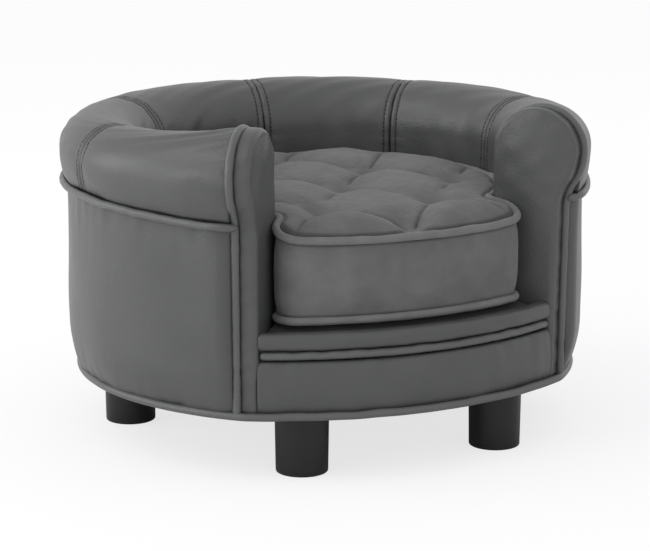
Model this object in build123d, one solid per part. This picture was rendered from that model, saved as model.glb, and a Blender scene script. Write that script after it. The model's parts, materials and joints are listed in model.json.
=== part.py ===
from build123d import *
import os
from math import cos, hypot, radians, sin, sqrt

# Round dog sofa: a padded C-shaped wall with a rolled top stands on a wooden base with four feet,
# and a loose tufted cushion lies in it. Millimetres, +Z up, the open front towards -Y, the floor at
# z = 0 and the origin under the middle of the whole sofa. Left and right are those of a viewer who
# faces the front. Plans are drawn about the axis of the round wall and moved to the origin when
# they are written. Angles are turns in degrees about that axis, counted from the front.

# Plan of the sofa
base_radius = 222.0
wall_padding = 12.5
roll_overhang = 5.5
wall_depth = 59.0
front_flat = 18.0
front_arc_radius = 305.0
arm_turn = 40.0
seam_turns = (88.0, 132.0, 176.0, 224.0, 272.0)

# Clearances
seat_gap = 0.2
soft_gap = 0.3
cushion_gap = 0.7
thread_gap = 0.05
overrun = 40.0

# Leather, plush and piping
leather = 1.2
plush = 1.5
piping_radius = 3.5

# Feet and what bolts them on
foot_height = 54.0
foot_radius = 23.5
foot_draw = 0.8
foot_edge = 1.5
foot_inset = 41.0
lead_turn = 31.5
rear_turn = 110.0
bolt_radius = 4.0
bolt_depth = 30.0
bolt_rise = 15.0
nut_barrel_radius = 5.0
nut_flange_radius = 11.0
nut_flange = 1.5

# Base
dust_sheet = 0.8
dust_margin = 12.0
base_front_inset = 1.7
base_thickness = 12.0
base_corner = 24.0
base_piping_proud = 4.0
base_piping_inset = -3.0
staple_count = 28
staple_margin = 3.5
staple_crown = 10.0
staple_leg = 6.0
staple_wire = 1.0

# Wall frame
panel_thickness = 3.0
top_ring_thickness = 9.0
wall_frame_height = 146.0
post_count = 8
post_width = 18.0
post_end_turn = 20.0
post_side_gap = 1.0
screw_radius = 2.0
screw_length = 38.0
screw_head_radius = 4.0
screw_head = 2.4
screw_spread = 26.0

# Padded wall
tuck_height = 32.0
tuck_draw = 4.7
tuck_gap = 0.5
cover_rise = 13.0
wall_welt_rise = 1.6
inner_foam = 7.2

# Rolled top
roll_foot_draw = 4.0
roll_foot_rise = 5.4
widest_rise = 22.6
crest_inset = 34.0
crest_rise = 33.0
shoulder_drop = 8.0
arm_rise = 13.5
widest_rise_share = 0.4
shoulder_rise_share = 0.5
flare_steps = 8

# Arm ends
arm_depth = 14.0
arm_pad = 4.8
arm_spring_rise = 8.0
arm_neck_proud = 2.0
arm_neck_drop = 52.0
arm_round = 4.0
arm_welt_inner = 3.6
arm_welt_outer = 2.0
arm_plate_gap = 1.0

# Seat deck
rib_height = 33.0
rib_thickness = 12.0
rib_spacing_share = 0.56
rib_length_share = 1.3
deck_board_thickness = 9.0
deck_foam_thickness = 16.5
deck_tip = 10.0

# Front plinth
fascia_foam_depth = 6.0
front_panel_thickness = 6.0
fascia_groove = 0.9
band_groove = 0.7
rail_height = 15.4
rail_rise = 1.0
rail_depth = 14.5
rail_round = 6.0

# Cushion
cushion_tip = 18.0
cushion_height = 75.5
boxing_draw = 4.6
boxing_bulge = 1.6
foam_draw = 8.0
foam_bulge = 4.2
crown_gap = 0.4
crown_height = 23.0
crown_round = 15.0
bulge_steps = 6
tuft_rings = 2
tuft_middle_share = 0.233
tuft_column_share = 0.35
tuft_row_share = 0.4235
tuft_ball = 34.0
tuft_sink = 12.0
edge_tuft_sink = 17.0
pleat_fade = -2.0
pleat_spread = 0.75
pleat_start_share = 0.15
pleat_end_share = 0.7
pleat_middle_share = 0.5
outer_pleat_share = 0.7

# Heights that follow
base_low = foot_height + dust_sheet
base_top = base_low + base_thickness
frame_low = base_top + seat_gap
wall_frame_top = frame_low + wall_frame_height
nut_top = base_top + thread_gap + nut_flange
deck_board_low = frame_low + rib_height + seat_gap
deck_board_top = deck_board_low + deck_board_thickness
deck_foam_low = deck_board_top + seat_gap
deck_foam_top = deck_foam_low + deck_foam_thickness
deck_top = deck_foam_top + seat_gap + leather
cushion_low = deck_top + soft_gap
top_seam = cushion_low + cushion_height - piping_radius
bottom_seam = cushion_low + piping_radius
ring_low = wall_frame_top + seat_gap
ring_top = ring_low + top_ring_thickness
roll_base = ring_top + seat_gap
tuck_low = foot_height + 2 * piping_radius + tuck_gap
tuck_top = foot_height + tuck_height
wall_cover_top = wall_frame_top + cover_rise
wall_welt_height = wall_cover_top + wall_welt_rise
roll_foot_height = wall_cover_top + roll_foot_rise
widest_height = roll_foot_height + widest_rise
crest_height = widest_height + crest_rise
shoulder_height = widest_height - shoulder_drop
arm_spring_height = widest_height + arm_spring_rise
arm_neck_height = arm_spring_height - arm_neck_drop
rail_high = cushion_low + rail_rise
rail_low = rail_high - rail_height
band_height = rail_low - band_groove - piping_radius
fascia_top = band_height - fascia_groove - piping_radius

# Plan sizes that follow
wall_radius = base_radius + wall_padding
roll_radius = wall_radius + roll_overhang
nest_radius = base_radius - wall_depth
front_reach = base_radius - front_flat
foot_circle = base_radius - foot_inset
base_piping_radius = base_radius + base_piping_proud
tuck_radius = wall_radius - tuck_draw
roll_foot_radius = roll_radius - roll_foot_draw
crest_radius = roll_radius - crest_inset
arm_neck = base_radius + arm_neck_proud
rib_spacing = nest_radius * rib_spacing_share
rib_length = nest_radius * rib_length_share
tuft_middle = nest_radius * tuft_middle_share
tuft_column = nest_radius * tuft_column_share
tuft_row = nest_radius * tuft_row_share
front_axis = front_arc_radius - front_reach
plate_depth = 2 * piping_radius
plate_back = arm_depth + seat_gap + plate_depth
ring_end = plate_back + soft_gap
skin = leather + soft_gap
outer_panel_radius = base_radius + seat_gap
wall_foam_radius = outer_panel_radius + panel_thickness + seat_gap
inner_panel_radius = nest_radius + skin + inner_foam + seat_gap
front_panel_inset = leather + fascia_foam_depth + seat_gap + seat_gap
front_panel_back = front_panel_inset + front_panel_thickness
cushion_front = rail_depth + soft_gap
arm_face = Plane(
    origin=(0, 0, 0),
    x_dir=(sin(radians(arm_turn)), -cos(radians(arm_turn)), 0),
    z_dir=(-cos(radians(arm_turn)), -sin(radians(arm_turn)), 0),
)
back_reach = wall_radius + seat_gap + 2 * piping_radius
lead_reach = front_reach - base_piping_inset + piping_radius
axis_place = Pos(0, (lead_reach - back_reach) / 2, 0)
standing = (Align.CENTER, Align.CENTER, Align.MIN)
hanging = (Align.CENTER, Align.CENTER, Align.MAX)
foot_turns = {
    "foot_front_right": lead_turn,
    "foot_back_right": rear_turn,
    "foot_back_left": -rear_turn,
    "foot_front_left": -lead_turn,
}


def at(radius, turn, height=0):
    """The place at a radius from the wall's axis, a turn from the front and a height."""
    return Pos(radius * sin(radians(turn)), -radius * cos(radians(turn)), height)


def turned(radius, turn, height=0):
    """The same place with +X turned to point outwards."""
    return Rot(0, 0, turn - 90) * Pos(radius, 0, height)


def upright(plan, low, high):
    """A prism on a plan, from one height to another."""
    return extrude(Pos(0, 0, low) * plan, amount=high - low)


def rectangle(near, far, low, high):
    """A half section between two radii and two heights."""
    return make_face(Polyline((near, low), (far, low), (far, high), (near, high), close=True))


def opening_plan(gap):
    """The wedge of the open front, its sides a gap in front of the arms' faces."""
    far = roll_radius + wall_radius
    side, lead = sin(radians(arm_turn)), cos(radians(arm_turn))
    tip = -gap / side
    corners = ((0, tip), (far * side, tip - far * lead), (0, -far), (-far * side, tip - far * lead))
    return make_face(Polyline(*corners, close=True))


def opening(gap):
    """The wedge as a prism that is higher and lower than the sofa."""
    return upright(opening_plan(gap), -overrun, arm_spring_height + roll_radius - nest_radius)


def turn_ring(section):
    """A half section turned about the wall's axis and open at the front, behind the arms."""
    return revolve(Plane.XZ * section, Axis.Z) - opening(-ring_end)


def front_piece(section):
    """A section turned about the front arc's axis and cut between the arms' faces."""
    whole = Pos(0, front_axis, 0) * revolve(Plane.XZ * section, Axis.Z)
    return whole & opening(soft_gap)


def front_section(inset, depth, low, high):
    """A rectangle behind the front arc by an inset, as deep as said."""
    return rectangle(front_arc_radius - inset - depth, front_arc_radius - inset, low, high)


def both_sides(shape):
    """A right-hand shape and its mirror image, as (right, left)."""
    return shape, mirror(shape, about=Plane.YZ)


def arc_about(start, end, centre, size):
    """The arc between two places about a centre, on the side where they lie."""
    mean = (start + end) / 2 - centre
    return ThreePointArc(start, centre + mean.normalized() * size, end)


def nest_plan(radius, gap, inset, tip, notch):
    """The round nest joined to the wedge between the arms, with rounded ears and inner corners.

    The ear's round touches the arm's side and the front arc from inside, the inner one touches
    the circle and the arm's side from outside, so each centre lies where two offsets cross.
    """
    away = Vector(*arm_face.z_dir)
    along = Vector(*arm_face.x_dir)
    middle = Vector(0, front_axis)
    arc = front_arc_radius - inset
    notch_run = sqrt((radius + notch) ** 2 - (gap - notch) ** 2)
    notch_centre = away * (gap - notch) + along * notch_run
    reach = away * (gap + tip) - middle
    slope = reach.dot(along)
    tip_run = sqrt(slope**2 - reach.dot(reach) + (arc - tip) ** 2) - slope
    tip_centre = away * (gap + tip) + along * tip_run

    notch_round = notch_centre * (radius / (radius + notch))
    notch_side = notch_centre + away * notch
    tip_side = tip_centre - away * tip
    tip_front = middle + (tip_centre - middle) * (arc / (arc - tip))
    half = [
        arc_about(Vector(0, radius), notch_round, Vector(0, 0), radius),
        arc_about(notch_round, notch_side, notch_centre, notch),
        Line(notch_side, tip_side),
        arc_about(tip_side, tip_front, tip_centre, tip),
    ]
    lead = ThreePointArc(tip_front, (0, front_axis - arc), (-tip_front.X, tip_front.Y))
    other = [mirror(edge, about=Plane.YZ) for edge in reversed(half)]
    return make_face([*half, lead, *other])


def base_plan(radius, inset):
    """A disc with the flatter front arc and rounded corners, each tangent to both from inside."""
    middle = Vector(0, front_axis)
    arc = front_arc_radius - inset
    run = radius - base_corner
    across = (run**2 - (arc - base_corner) ** 2 + front_axis**2) / (2 * front_axis)
    centre = Vector(sqrt(run**2 - across**2), across)
    side = centre * (radius / run)
    lead = middle + (centre - middle) * (arc / (arc - base_corner))
    back = Vector(0, radius)
    edges = [
        arc_about(back, side, Vector(0, 0), radius),
        arc_about(side, lead, centre, base_corner),
        ThreePointArc(lead, (0, front_axis - arc), (-lead.X, lead.Y)),
    ]
    return make_face([*edges, *[mirror(edge, about=Plane.YZ) for edge in edges[:-1]]])


def piping(path):
    """A round cord along a path."""
    return sweep(Plane(origin=path @ 0, z_dir=path % 0) * Circle(piping_radius), path=path)


def roll_line(inset, rise, low):
    """The outline over the roll and down the nest, as edges and its two ends."""
    widest = (roll_radius - inset, widest_height + rise * widest_rise_share)
    crest = (crest_radius, crest_height + rise - inset)
    shoulder = (nest_radius + inset, shoulder_height + rise * shoulder_rise_share)
    foot_in = roll_radius - roll_foot_radius
    foot_drop = widest[1] - roll_foot_height
    foot_bend = (foot_in**2 + foot_drop**2) / (2 * foot_in)
    bend_share = (foot_bend - inset) / foot_bend
    centre = roll_radius - foot_bend
    foot = (centre + (roll_foot_radius - centre) * bend_share, widest[1] - foot_drop * bend_share)
    end = (nest_radius + inset, low)
    edges = [
        TangentArc(widest, foot, tangent=(0, -1)),
        TangentArc(widest, crest, tangent=(0, 1)),
        TangentArc(shoulder, crest, tangent=(0, 1)),
        Line(shoulder, end),
    ]
    return edges, foot, end


def roll_skin(rise):
    """The section of the leather over the roll and down the nest."""
    outside, foot, end = roll_line(0, rise, deck_foam_low)
    inside, foot_in, end_in = roll_line(leather, rise, deck_foam_low)
    return make_face([*outside, *inside, Line(foot, foot_in), Line(end, end_in)])


def roll_filling(rise):
    """The section of the foam inside the roll."""
    edges, foot, end = roll_line(skin, rise, roll_base)
    lip = wall_cover_top + seat_gap
    step = wall_foam_radius - seat_gap
    lower = Polyline(foot, (wall_radius - soft_gap, lip), (step, lip), (step, roll_base), end)
    return make_face([*edges, lower])


def flare(section_of):
    """The right end of the roll, which swells up towards the arm."""
    last = seam_turns[0]
    sections = []
    for step in range(flare_steps + 1):
        turn = arm_turn + (last - arm_turn) * step / flare_steps
        rise = arm_rise * ((last - turn) / (last - arm_turn)) ** 2
        sections.append(Rot(0, 0, turn - 90) * (Plane.XZ * section_of(rise)))
    return loft(sections, ruled=True) - opening(-ring_end)


def roll_span(section, start, end):
    """A section turned about the wall's axis from one turn to another."""
    turned_part = revolve(Plane.XZ * section, Axis.Z, revolution_arc=end - start)
    return Rot(0, 0, start - 90) * turned_part


def arm_line(inner, outer, neck, foot, low):
    """The arm's outline up the nest side, over the arch and down the S-shaped outer side."""
    arch = (outer - inner) / 2
    spring_in = (inner, arm_spring_height)
    spring_out = (outer, arm_spring_height)
    middle = ((outer + neck) / 2, (arm_spring_height + arm_neck_height) / 2)
    bend = TangentArc(spring_out, middle, tangent=(0, -1))
    return [
        Line((inner, low), spring_in),
        ThreePointArc(spring_in, (inner + arch, arm_spring_height + arch), spring_out),
        bend,
        TangentArc(middle, (neck, arm_neck_height), tangent=bend % 1),
        Line((neck, arm_neck_height), (foot, low)),
    ]


def arm_plan(inset, low):
    """The arm's face, smaller all round by an inset."""
    edges = arm_line(
        nest_radius + inset, roll_radius - inset, arm_neck - inset, base_radius - inset, low
    )
    return make_face([*edges, Line(edges[0] @ 0, edges[-1] @ 1)])


def behind_face(plan, start, depth, edge_round=0):
    """A prism on an arm plan behind the arm's face, its front edge rounded if so said."""
    front = arm_face.offset(-start)
    prism = extrude(front * plan, amount=-depth)
    if edge_round:
        rim = prism.faces().sort_by(Axis(front.origin, front.z_dir))[-1].edges().sort_by(Axis.Z)
        prism = fillet(rim[1:], edge_round)
    return prism


def make_feet():
    """Four round feet, their bolts and the nuts in the base."""
    low = foot_radius - foot_draw
    outline = Polyline((0, 0), (low, 0), (foot_radius, foot_height), (0, foot_height), close=True)
    body = revolve(Plane.XZ * make_face(outline), Axis.Z)
    rims = body.edges().filter_by(GeomType.CIRCLE).sort_by(Axis.Z)
    body = fillet([rims[0], rims[-1]], foot_edge)
    bore_low = Pos(0, 0, foot_height - bolt_depth)
    body -= bore_low * Cylinder(bolt_radius + thread_gap, bolt_depth, align=standing)
    bolt = bore_low * Cylinder(bolt_radius, bolt_depth + bolt_rise, align=standing)
    bore = bolt_radius + thread_gap
    flange_low = base_top + thread_gap
    barrel = rectangle(bore, nut_barrel_radius, base_low + seat_gap, flange_low)
    flange = rectangle(bore, nut_flange_radius, flange_low, nut_top)
    nut = revolve(Plane.XZ * (barrel + flange), Axis.Z)
    places = [at(foot_circle, turn) for turn in foot_turns.values()]
    feet = {name: place * body for name, place in zip(foot_turns, places)}
    feet["foot_bolts"] = Compound([place * bolt for place in places])
    feet["foot_nuts"] = Compound([place * nut for place in places])
    return feet


def foot_holes(radius):
    """Upright holes over the four feet."""
    hole = Cylinder(radius, foot_height + base_top)
    return [at(foot_circle, turn, foot_height) * hole for turn in foot_turns.values()]


def make_base():
    """The base board, its piping, the sheet under it and the staples that hold the sheet."""
    board = upright(base_plan(base_radius, base_front_inset), base_low, base_top)
    sheet_plan = base_plan(base_radius - dust_margin, base_front_inset + dust_margin)
    sheet = upright(sheet_plan, foot_height, base_low)
    edge = base_plan(base_piping_radius, base_piping_inset).wire()
    staple_inset = dust_margin + staple_margin
    ring = base_plan(base_radius - staple_inset, base_front_inset + staple_inset).wire()
    half_wire = staple_wire / 2
    staple = Pos(0, 0, foot_height - half_wire) * Box(staple_crown, staple_wire, staple_wire)
    leg = Box(staple_wire, staple_wire, staple_leg, align=standing)
    for side in (-1, 1):
        staple += Pos(side * (staple_crown / 2 - half_wire), 0, foot_height - half_wire) * leg
    feet = [at(foot_circle, turn).position for turn in foot_turns.values()]
    staples = []
    for index in range(staple_count):
        share = (index + 1 / 2) / staple_count
        place = ring @ share
        nearest = min(hypot(place.X - foot.X, place.Y - foot.Y) for foot in feet)
        if nearest > foot_radius + staple_crown:
            staples.append(Plane(origin=(place.X, place.Y, 0), x_dir=ring % share) * staple)
    return {
        "base_board": board - foot_holes(nut_barrel_radius + thread_gap),
        "dust_cover": sheet - foot_holes(bolt_radius + thread_gap),
        "base_welt": Pos(0, 0, foot_height + piping_radius) * piping(edge),
        "dust_cover_staples": Compound(staples),
    }


def post_turns():
    """The turns of the wall's posts, evenly spaced behind the arms."""
    first = arm_turn + post_end_turn
    step = (360 - 2 * first) / (post_count - 1)
    return [first + step * index for index in range(post_count)]


def make_wall_frame():
    """Bent panels, posts and top ring of the wall, with the screws that join them."""
    inner = inner_panel_radius
    outer = outer_panel_radius
    outer_face = outer + panel_thickness
    post_inner = inner + panel_thickness + post_side_gap
    post_outer = base_radius - post_side_gap
    depth = post_outer - post_inner
    middle = (post_inner + post_outer) / 2
    post = Box(depth, post_width, wall_frame_top - frame_low, align=standing)
    shank = Cylinder(screw_radius, screw_length, align=hanging)
    screw = shank + Cone(screw_radius, screw_head_radius, screw_head, align=hanging)
    posts = []
    screws = []
    for turn in post_turns():
        posts.append(turned(middle, turn, frame_low) * post)
        for side in (-1, 1):
            radius = middle + side * screw_spread / 2
            screws.append(turned(radius, turn, ring_top) * screw)
            screws.append(turned(radius, turn, base_low) * Rot(180, 0, 0) * screw)
    return {
        "outer_wall_panel": turn_ring(rectangle(outer, outer_face, tuck_low, wall_frame_top)),
        "inner_wall_panel": turn_ring(
            rectangle(inner, inner + panel_thickness, nut_top + seat_gap, wall_frame_top)
        ),
        "top_ring": turn_ring(rectangle(inner, outer_face, ring_low, ring_top)),
        "wall_posts": Compound(posts),
        "frame_screws": Compound(screws),
    }


def wall_line(inset):
    """The padded wall's outline from its top to the tuck above the base piping."""
    knee = (wall_radius - inset, tuck_top)
    toe = (tuck_radius - inset, tuck_low)
    top = (wall_radius - inset, wall_cover_top)
    return [Line(top, knee), TangentArc(knee, toe, tangent=(0, -1))], top, toe


def make_wall_padding():
    """Foam and leather of the wall and the piping under the roll."""
    outside, top, toe = wall_line(0)
    inside, top_in, toe_in = wall_line(leather)
    cover = make_face([*outside, *inside, Line(top, top_in), Line(toe, toe_in)])
    face, high, low = wall_line(skin)
    back = [high, (wall_foam_radius, wall_cover_top), (wall_foam_radius, tuck_low), low]
    foam = make_face([*face, Polyline(*back)])
    welt_radius = wall_radius + seat_gap + piping_radius
    welt = Pos(welt_radius, wall_welt_height) * Circle(piping_radius)
    inner_face = nest_radius + skin
    return {
        "outer_wall_cover": turn_ring(cover),
        "outer_wall_foam": turn_ring(foam),
        "roll_welt": turn_ring(welt),
        "inner_wall_foam": turn_ring(
            rectangle(inner_face, inner_face + inner_foam, deck_board_low, ring_top)
        ),
    }


def make_roll():
    """The rolled top: foam all round and six leather panels between the seams."""
    right_foam, left_foam = both_sides(flare(roll_filling))
    right_skin, left_skin = both_sides(flare(roll_skin))
    middle_foam = roll_span(roll_filling(0), seam_turns[0], seam_turns[-1])
    names = ("right_side", "right_back", "left_back", "left_side")
    parts = {
        "roll_foam": middle_foam + right_foam + left_foam,
        "roll_cover_right_front": right_skin,
        "roll_cover_left_front": left_skin,
    }
    for name, start, end in zip(names, seam_turns, seam_turns[1:]):
        parts[f"roll_cover_{name}"] = roll_span(roll_skin(0), start, end)
    return parts


def make_arms():
    """The two arm ends: padded boards, their covers, the piping and the plates behind them."""
    low = frame_low
    whole = arm_plan(0, low)
    inside = arm_plan(leather, low)
    core = arm_plan(leather + seat_gap, low)
    hollow = behind_face(inside, leather, arm_depth, arm_round - leather)
    cover = behind_face(whole, 0, arm_depth, arm_round) - hollow
    pad_start = leather + seat_gap
    board_start = pad_start + arm_pad + seat_gap
    path = Wire(
        arm_line(
            nest_radius + arm_welt_inner,
            roll_radius + arm_welt_outer,
            arm_neck + arm_welt_outer,
            base_radius + arm_welt_outer,
            low,
        )
    )
    placed = arm_face.offset(-arm_depth - seat_gap - piping_radius) * path
    inset = piping_radius + arm_plate_gap
    plate_edges = arm_line(
        nest_radius + arm_welt_inner + inset,
        roll_radius + arm_welt_outer - inset,
        arm_neck + arm_welt_outer - inset,
        base_radius + arm_welt_outer - inset,
        low,
    )
    plate = make_face([*plate_edges, Line(plate_edges[0] @ 0, plate_edges[-1] @ 1)])
    right = {
        "arm_cover": cover,
        "arm_pad": behind_face(core, pad_start, arm_pad, arm_round - pad_start),
        "arm_board": behind_face(core, board_start, arm_depth - board_start),
        "arm_welt": piping(placed),
        "arm_end_plate": behind_face(plate, arm_depth + seat_gap, plate_depth),
    }
    parts = {}
    for name, shape in right.items():
        parts[f"{name}_right"], parts[f"{name}_left"] = both_sides(shape)
    return parts


def make_deck():
    """Ribs, board, foam and cover that carry the cushion."""
    radius = nest_radius - soft_gap
    notch = arm_round + soft_gap
    board_plan = nest_plan(radius, soft_gap, front_panel_back + soft_gap, deck_tip, notch)
    soft_plan = nest_plan(radius, soft_gap, rail_depth + soft_gap, deck_tip, notch)
    rib = Box(rib_length, rib_thickness, rib_height, align=standing)
    return {
        "deck_ribs": Compound([Pos(0, side * rib_spacing, frame_low) * rib for side in (-1, 0, 1)]),
        "deck_board": upright(board_plan, deck_board_low, deck_board_top),
        "deck_foam": upright(soft_plan, deck_foam_low, deck_foam_top),
        "deck_cover": upright(soft_plan, deck_foam_top + seat_gap, deck_top),
    }


def make_front():
    """The curved plinth below the cushion: panel, fascia, piped band and padded rail."""
    rail = Pos(front_arc_radius - rail_depth / 2, (rail_low + rail_high) / 2)
    height = rail_high - rail_low
    outline, hollow, filling = [
        rail * RectangleRounded(rail_depth - 2 * inset, height - 2 * inset, rail_round - inset)
        for inset in (0, leather, skin)
    ]
    band_reach = front_arc_radius - front_panel_inset + seat_gap + piping_radius
    return {
        "front_panel": front_piece(
            front_section(front_panel_inset, front_panel_thickness, frame_low, rail_low - seat_gap)
        ),
        "fascia_foam": front_piece(
            front_section(leather + seat_gap, fascia_foam_depth, frame_low, fascia_top)
        ),
        "fascia_cover": front_piece(front_section(0, leather, tuck_low, fascia_top)),
        "front_band_welt": front_piece(Pos(band_reach, band_height) * Circle(piping_radius)),
        "front_rail_foam": front_piece(filling),
        "front_rail_cover": front_piece(outline - hollow),
    }


def cushion_plan(inset, height):
    """The cushion's outline, smaller all round by an inset, at a height."""
    plan = nest_plan(
        nest_radius - cushion_gap - inset,
        cushion_gap + inset,
        cushion_front + cushion_gap + inset,
        cushion_tip,
        arm_round + cushion_gap + inset,
    )
    return Pos(0, 0, height) * plan


def bulging_block(draw, bulge, low, high):
    """A block with the cushion's outline, fuller at half height than at its ends."""
    sections = []
    for step in range(bulge_steps + 1):
        share = step / bulge_steps
        inset = bulge + (draw - bulge) * (2 * share - 1) ** 2
        sections.append(cushion_plan(inset, low + (high - low) * share))
    return loft(sections, ruled=True)


def tuft_places():
    """The sewn tufts by column and row, as (place, sink): a diamond with its corner in front."""
    tufts = {}
    for row in range(-tuft_rings, tuft_rings + 1):
        spread = tuft_rings - abs(row)
        for column in range(-spread, spread + 1, 2):
            place = Vector(column * tuft_column, -tuft_middle - row * tuft_row)
            tufts[column, row] = (place, edge_tuft_sink if row == tuft_rings else tuft_sink)
    return tufts


def pleat(start, heading, start_sink, end_sink):
    """A V-shaped cutter from inside one tuft's hollow along a heading, shallower halfway."""
    across = Vector(0, 0, 1).cross(heading)
    levels = (
        (pleat_start_share, start_sink * pleat_end_share),
        (1 / 2, (start_sink + end_sink) / 2 * pleat_middle_share),
        (1 - pleat_start_share, end_sink * pleat_end_share),
    )
    sections = []
    for share, sink in levels:
        width = (tuft_sink + sink) * pleat_spread
        place = Plane(origin=start + heading * share, x_dir=across, z_dir=heading)
        outline = Polyline((-width, tuft_sink), (width, tuft_sink), (0, -sink), close=True)
        sections.append(place * make_face(outline))
    return loft(sections, ruled=True)


def tuft_cutters(top):
    """A ball over every tuft and a cutter along every pleat, for a crown with this top."""
    tufts = tuft_places()
    cutters = []
    for (column, row), (place, sink) in tufts.items():
        cutters.append(Pos(place.X, place.Y, top - sink + tuft_ball) * Sphere(tuft_ball))
        start = place + Vector(0, 0, top)
        for side in (-1, 1):
            for way in (-1, 1):
                heading = Vector(side * tuft_column, -way * tuft_row)
                neighbour = tufts.get((column + side, row + way))
                if neighbour is None:
                    cutters.append(pleat(start, heading * outer_pleat_share, sink, pleat_fade))
                elif way > 0:
                    cutters.append(pleat(start, heading, sink, neighbour[1]))
    return cutters


def make_cushion():
    """The loose cushion: foam, plush boxing, bottom, tufted and crowned top, two pipings."""
    edge = cushion_plan(piping_radius, 0).wire()
    band_low = bottom_seam + piping_radius + soft_gap
    band_high = top_seam - piping_radius - soft_gap
    boxing = bulging_block(boxing_draw, boxing_bulge, band_low, band_high)
    boxing -= bulging_block(boxing_draw + plush, boxing_bulge + plush, band_low, band_high)
    rim = 2 * piping_radius + crown_gap
    summit = top_seam + crown_height
    crown = upright(cushion_plan(rim, 0), top_seam + crown_gap, summit)
    crown = fillet(crown.faces().sort_by(Axis.Z)[-1].edges(), crown_round)
    for cutter in tuft_cutters(summit):
        crown -= cutter
    bottom = cushion_low + plush
    foam_high = top_seam + crown_gap - seat_gap
    return {
        "cushion_foam": bulging_block(foam_draw, foam_bulge, bottom + seat_gap, foam_high),
        "cushion_boxing": boxing,
        "cushion_bottom_cover": upright(cushion_plan(rim, 0), cushion_low, bottom),
        "cushion_top_cover": crown,
        "cushion_top_welt": Pos(0, 0, top_seam) * piping(edge),
        "cushion_bottom_welt": Pos(0, 0, bottom_seam) * piping(edge),
    }


os.makedirs("parts", exist_ok=True)
makers = (
    make_feet,
    make_base,
    make_wall_frame,
    make_wall_padding,
    make_roll,
    make_arms,
    make_deck,
    make_front,
    make_cushion,
)
for maker in makers:
    for name, shape in maker().items():
        export_step(axis_place * shape, f"parts/{name}.step")
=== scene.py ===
"""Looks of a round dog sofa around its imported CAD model, in metres, +Z up, the open front towards -Y.

Turns are angles about the axis of the round wall, counted from the front towards +X. Right and left
are those of a viewer who faces the front.
"""

import json
import logging
import math
from dataclasses import dataclass
from enum import Enum
from typing import Sequence

import bmesh
import bpy
import numpy as np
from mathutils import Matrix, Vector


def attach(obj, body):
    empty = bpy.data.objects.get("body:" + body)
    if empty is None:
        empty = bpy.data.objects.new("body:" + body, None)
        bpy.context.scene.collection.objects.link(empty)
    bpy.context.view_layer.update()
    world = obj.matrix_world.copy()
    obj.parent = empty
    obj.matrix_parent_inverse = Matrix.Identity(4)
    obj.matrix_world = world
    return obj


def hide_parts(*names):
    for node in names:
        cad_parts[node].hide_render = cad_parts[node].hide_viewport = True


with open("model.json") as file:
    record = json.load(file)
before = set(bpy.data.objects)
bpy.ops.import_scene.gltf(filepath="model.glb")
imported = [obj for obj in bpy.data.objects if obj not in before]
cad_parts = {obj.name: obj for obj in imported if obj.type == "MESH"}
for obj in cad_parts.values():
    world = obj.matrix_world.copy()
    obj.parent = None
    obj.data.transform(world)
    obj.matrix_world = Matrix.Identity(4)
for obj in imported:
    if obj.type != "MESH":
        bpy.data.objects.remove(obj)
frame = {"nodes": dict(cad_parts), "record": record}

Array = np.ndarray
Pair = tuple[float, float]
Triple = tuple[float, float, float]
Mesh = bpy.types.Mesh
Piece = bpy.types.Object
Material = bpy.types.Material
Tree = bpy.types.NodeTree
Node = bpy.types.Node
Socket = bpy.types.NodeSocket
Bumps = list[tuple[Socket, float]]

LOG = logging.getLogger("dog_sofa")
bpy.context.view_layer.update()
MM = 0.001
# Points that lie closer than this become one.
MERGE = 1e-6
IMAGE_WIDTH = 650
SENSOR_WIDTH = 36.0
SPACING_SAMPLES = 4001
DOME_RINGS = 6
COLOUR_INPUTS = (6, 7)
COLOUR_OUTPUT = 2
UP = np.array([0.0, 0.0, 1.0])


class Side(Enum):
    """The two arms of the sofa."""

    RIGHT = 1
    LEFT = -1


class Body(Enum):
    """The bodies of the CAD model that a piece can ride on."""

    SOFA = "sofa"
    CUSHION = "cushion"


class Slot(Enum):
    """The record's material slots."""

    LEATHER = "faux_leather"
    PIPING = "leather_piping"
    PLUSH = "plush"
    PLUSH_PIPING = "plush_piping"
    NON_WOVEN = "non_woven"
    FOAM = "foam"
    PLYWOOD = "plywood"
    PLASTIC = "black_plastic"
    STEEL = "zinc_steel"


# Numbers, lines and surfaces


def smooth_step(values: Array, low: float, high: float) -> Array:
    """Nought up to low, one from high on, and 3s^2 - 2s^3 of the share s in between."""
    share = np.clip((np.asarray(values) - low) / (high - low), 0, 1)
    return share * share * (3 - 2 * share)


def between(ends: Pair, share: Array) -> Array:
    """The value a share of the way from the first end to the second."""
    return ends[0] + (ends[1] - ends[0]) * share


def rounded_drop(share: Array, keep: float = 0.998) -> Array:
    """The drop 1 - sqrt(1 - keep s^2) of a quarter of a circle, kept short of its upright end."""
    return 1 - np.sqrt(1 - keep * share**2)


def bend_radius(run: Array | float, rise: Array | float) -> Array | float:
    """The radius (run^2 + rise^2) / (2 run) of an arc that starts upright and ends run aside."""
    return (run**2 + rise**2) / (2 * run)


def stacked(x: Array, y: Array, z: Array) -> Array:
    """Places from their coordinates."""
    return np.stack(np.broadcast_arrays(x, y, z), axis=-1)


def looped(line: Array) -> Array:
    """A line of places with its first place again at its end."""
    return np.concatenate([line, line[:1]])


def spaced(length: float, fine: float, coarse: float, dense: float) -> Array:
    """Shares of a length, close together near both ends: the step grows from fine to coarse.

    Args:
        length: The whole length.
        fine: The step at both ends.
        coarse: The step in the middle.
        dense: How far from an end the fine steps reach.

    Returns:
        Rising shares from 0 to 1.
    """
    places = np.linspace(0, length, SPACING_SAMPLES)
    edge = np.minimum(places, length - places)
    step = fine + (coarse - fine) * smooth_step(edge, dense / 2, 3 * dense)
    count = np.concatenate([[0], np.cumsum(np.diff(places) / step[:-1])])
    return np.interp(np.linspace(0, count[-1], int(count[-1]) + 2), count, places) / length


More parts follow.
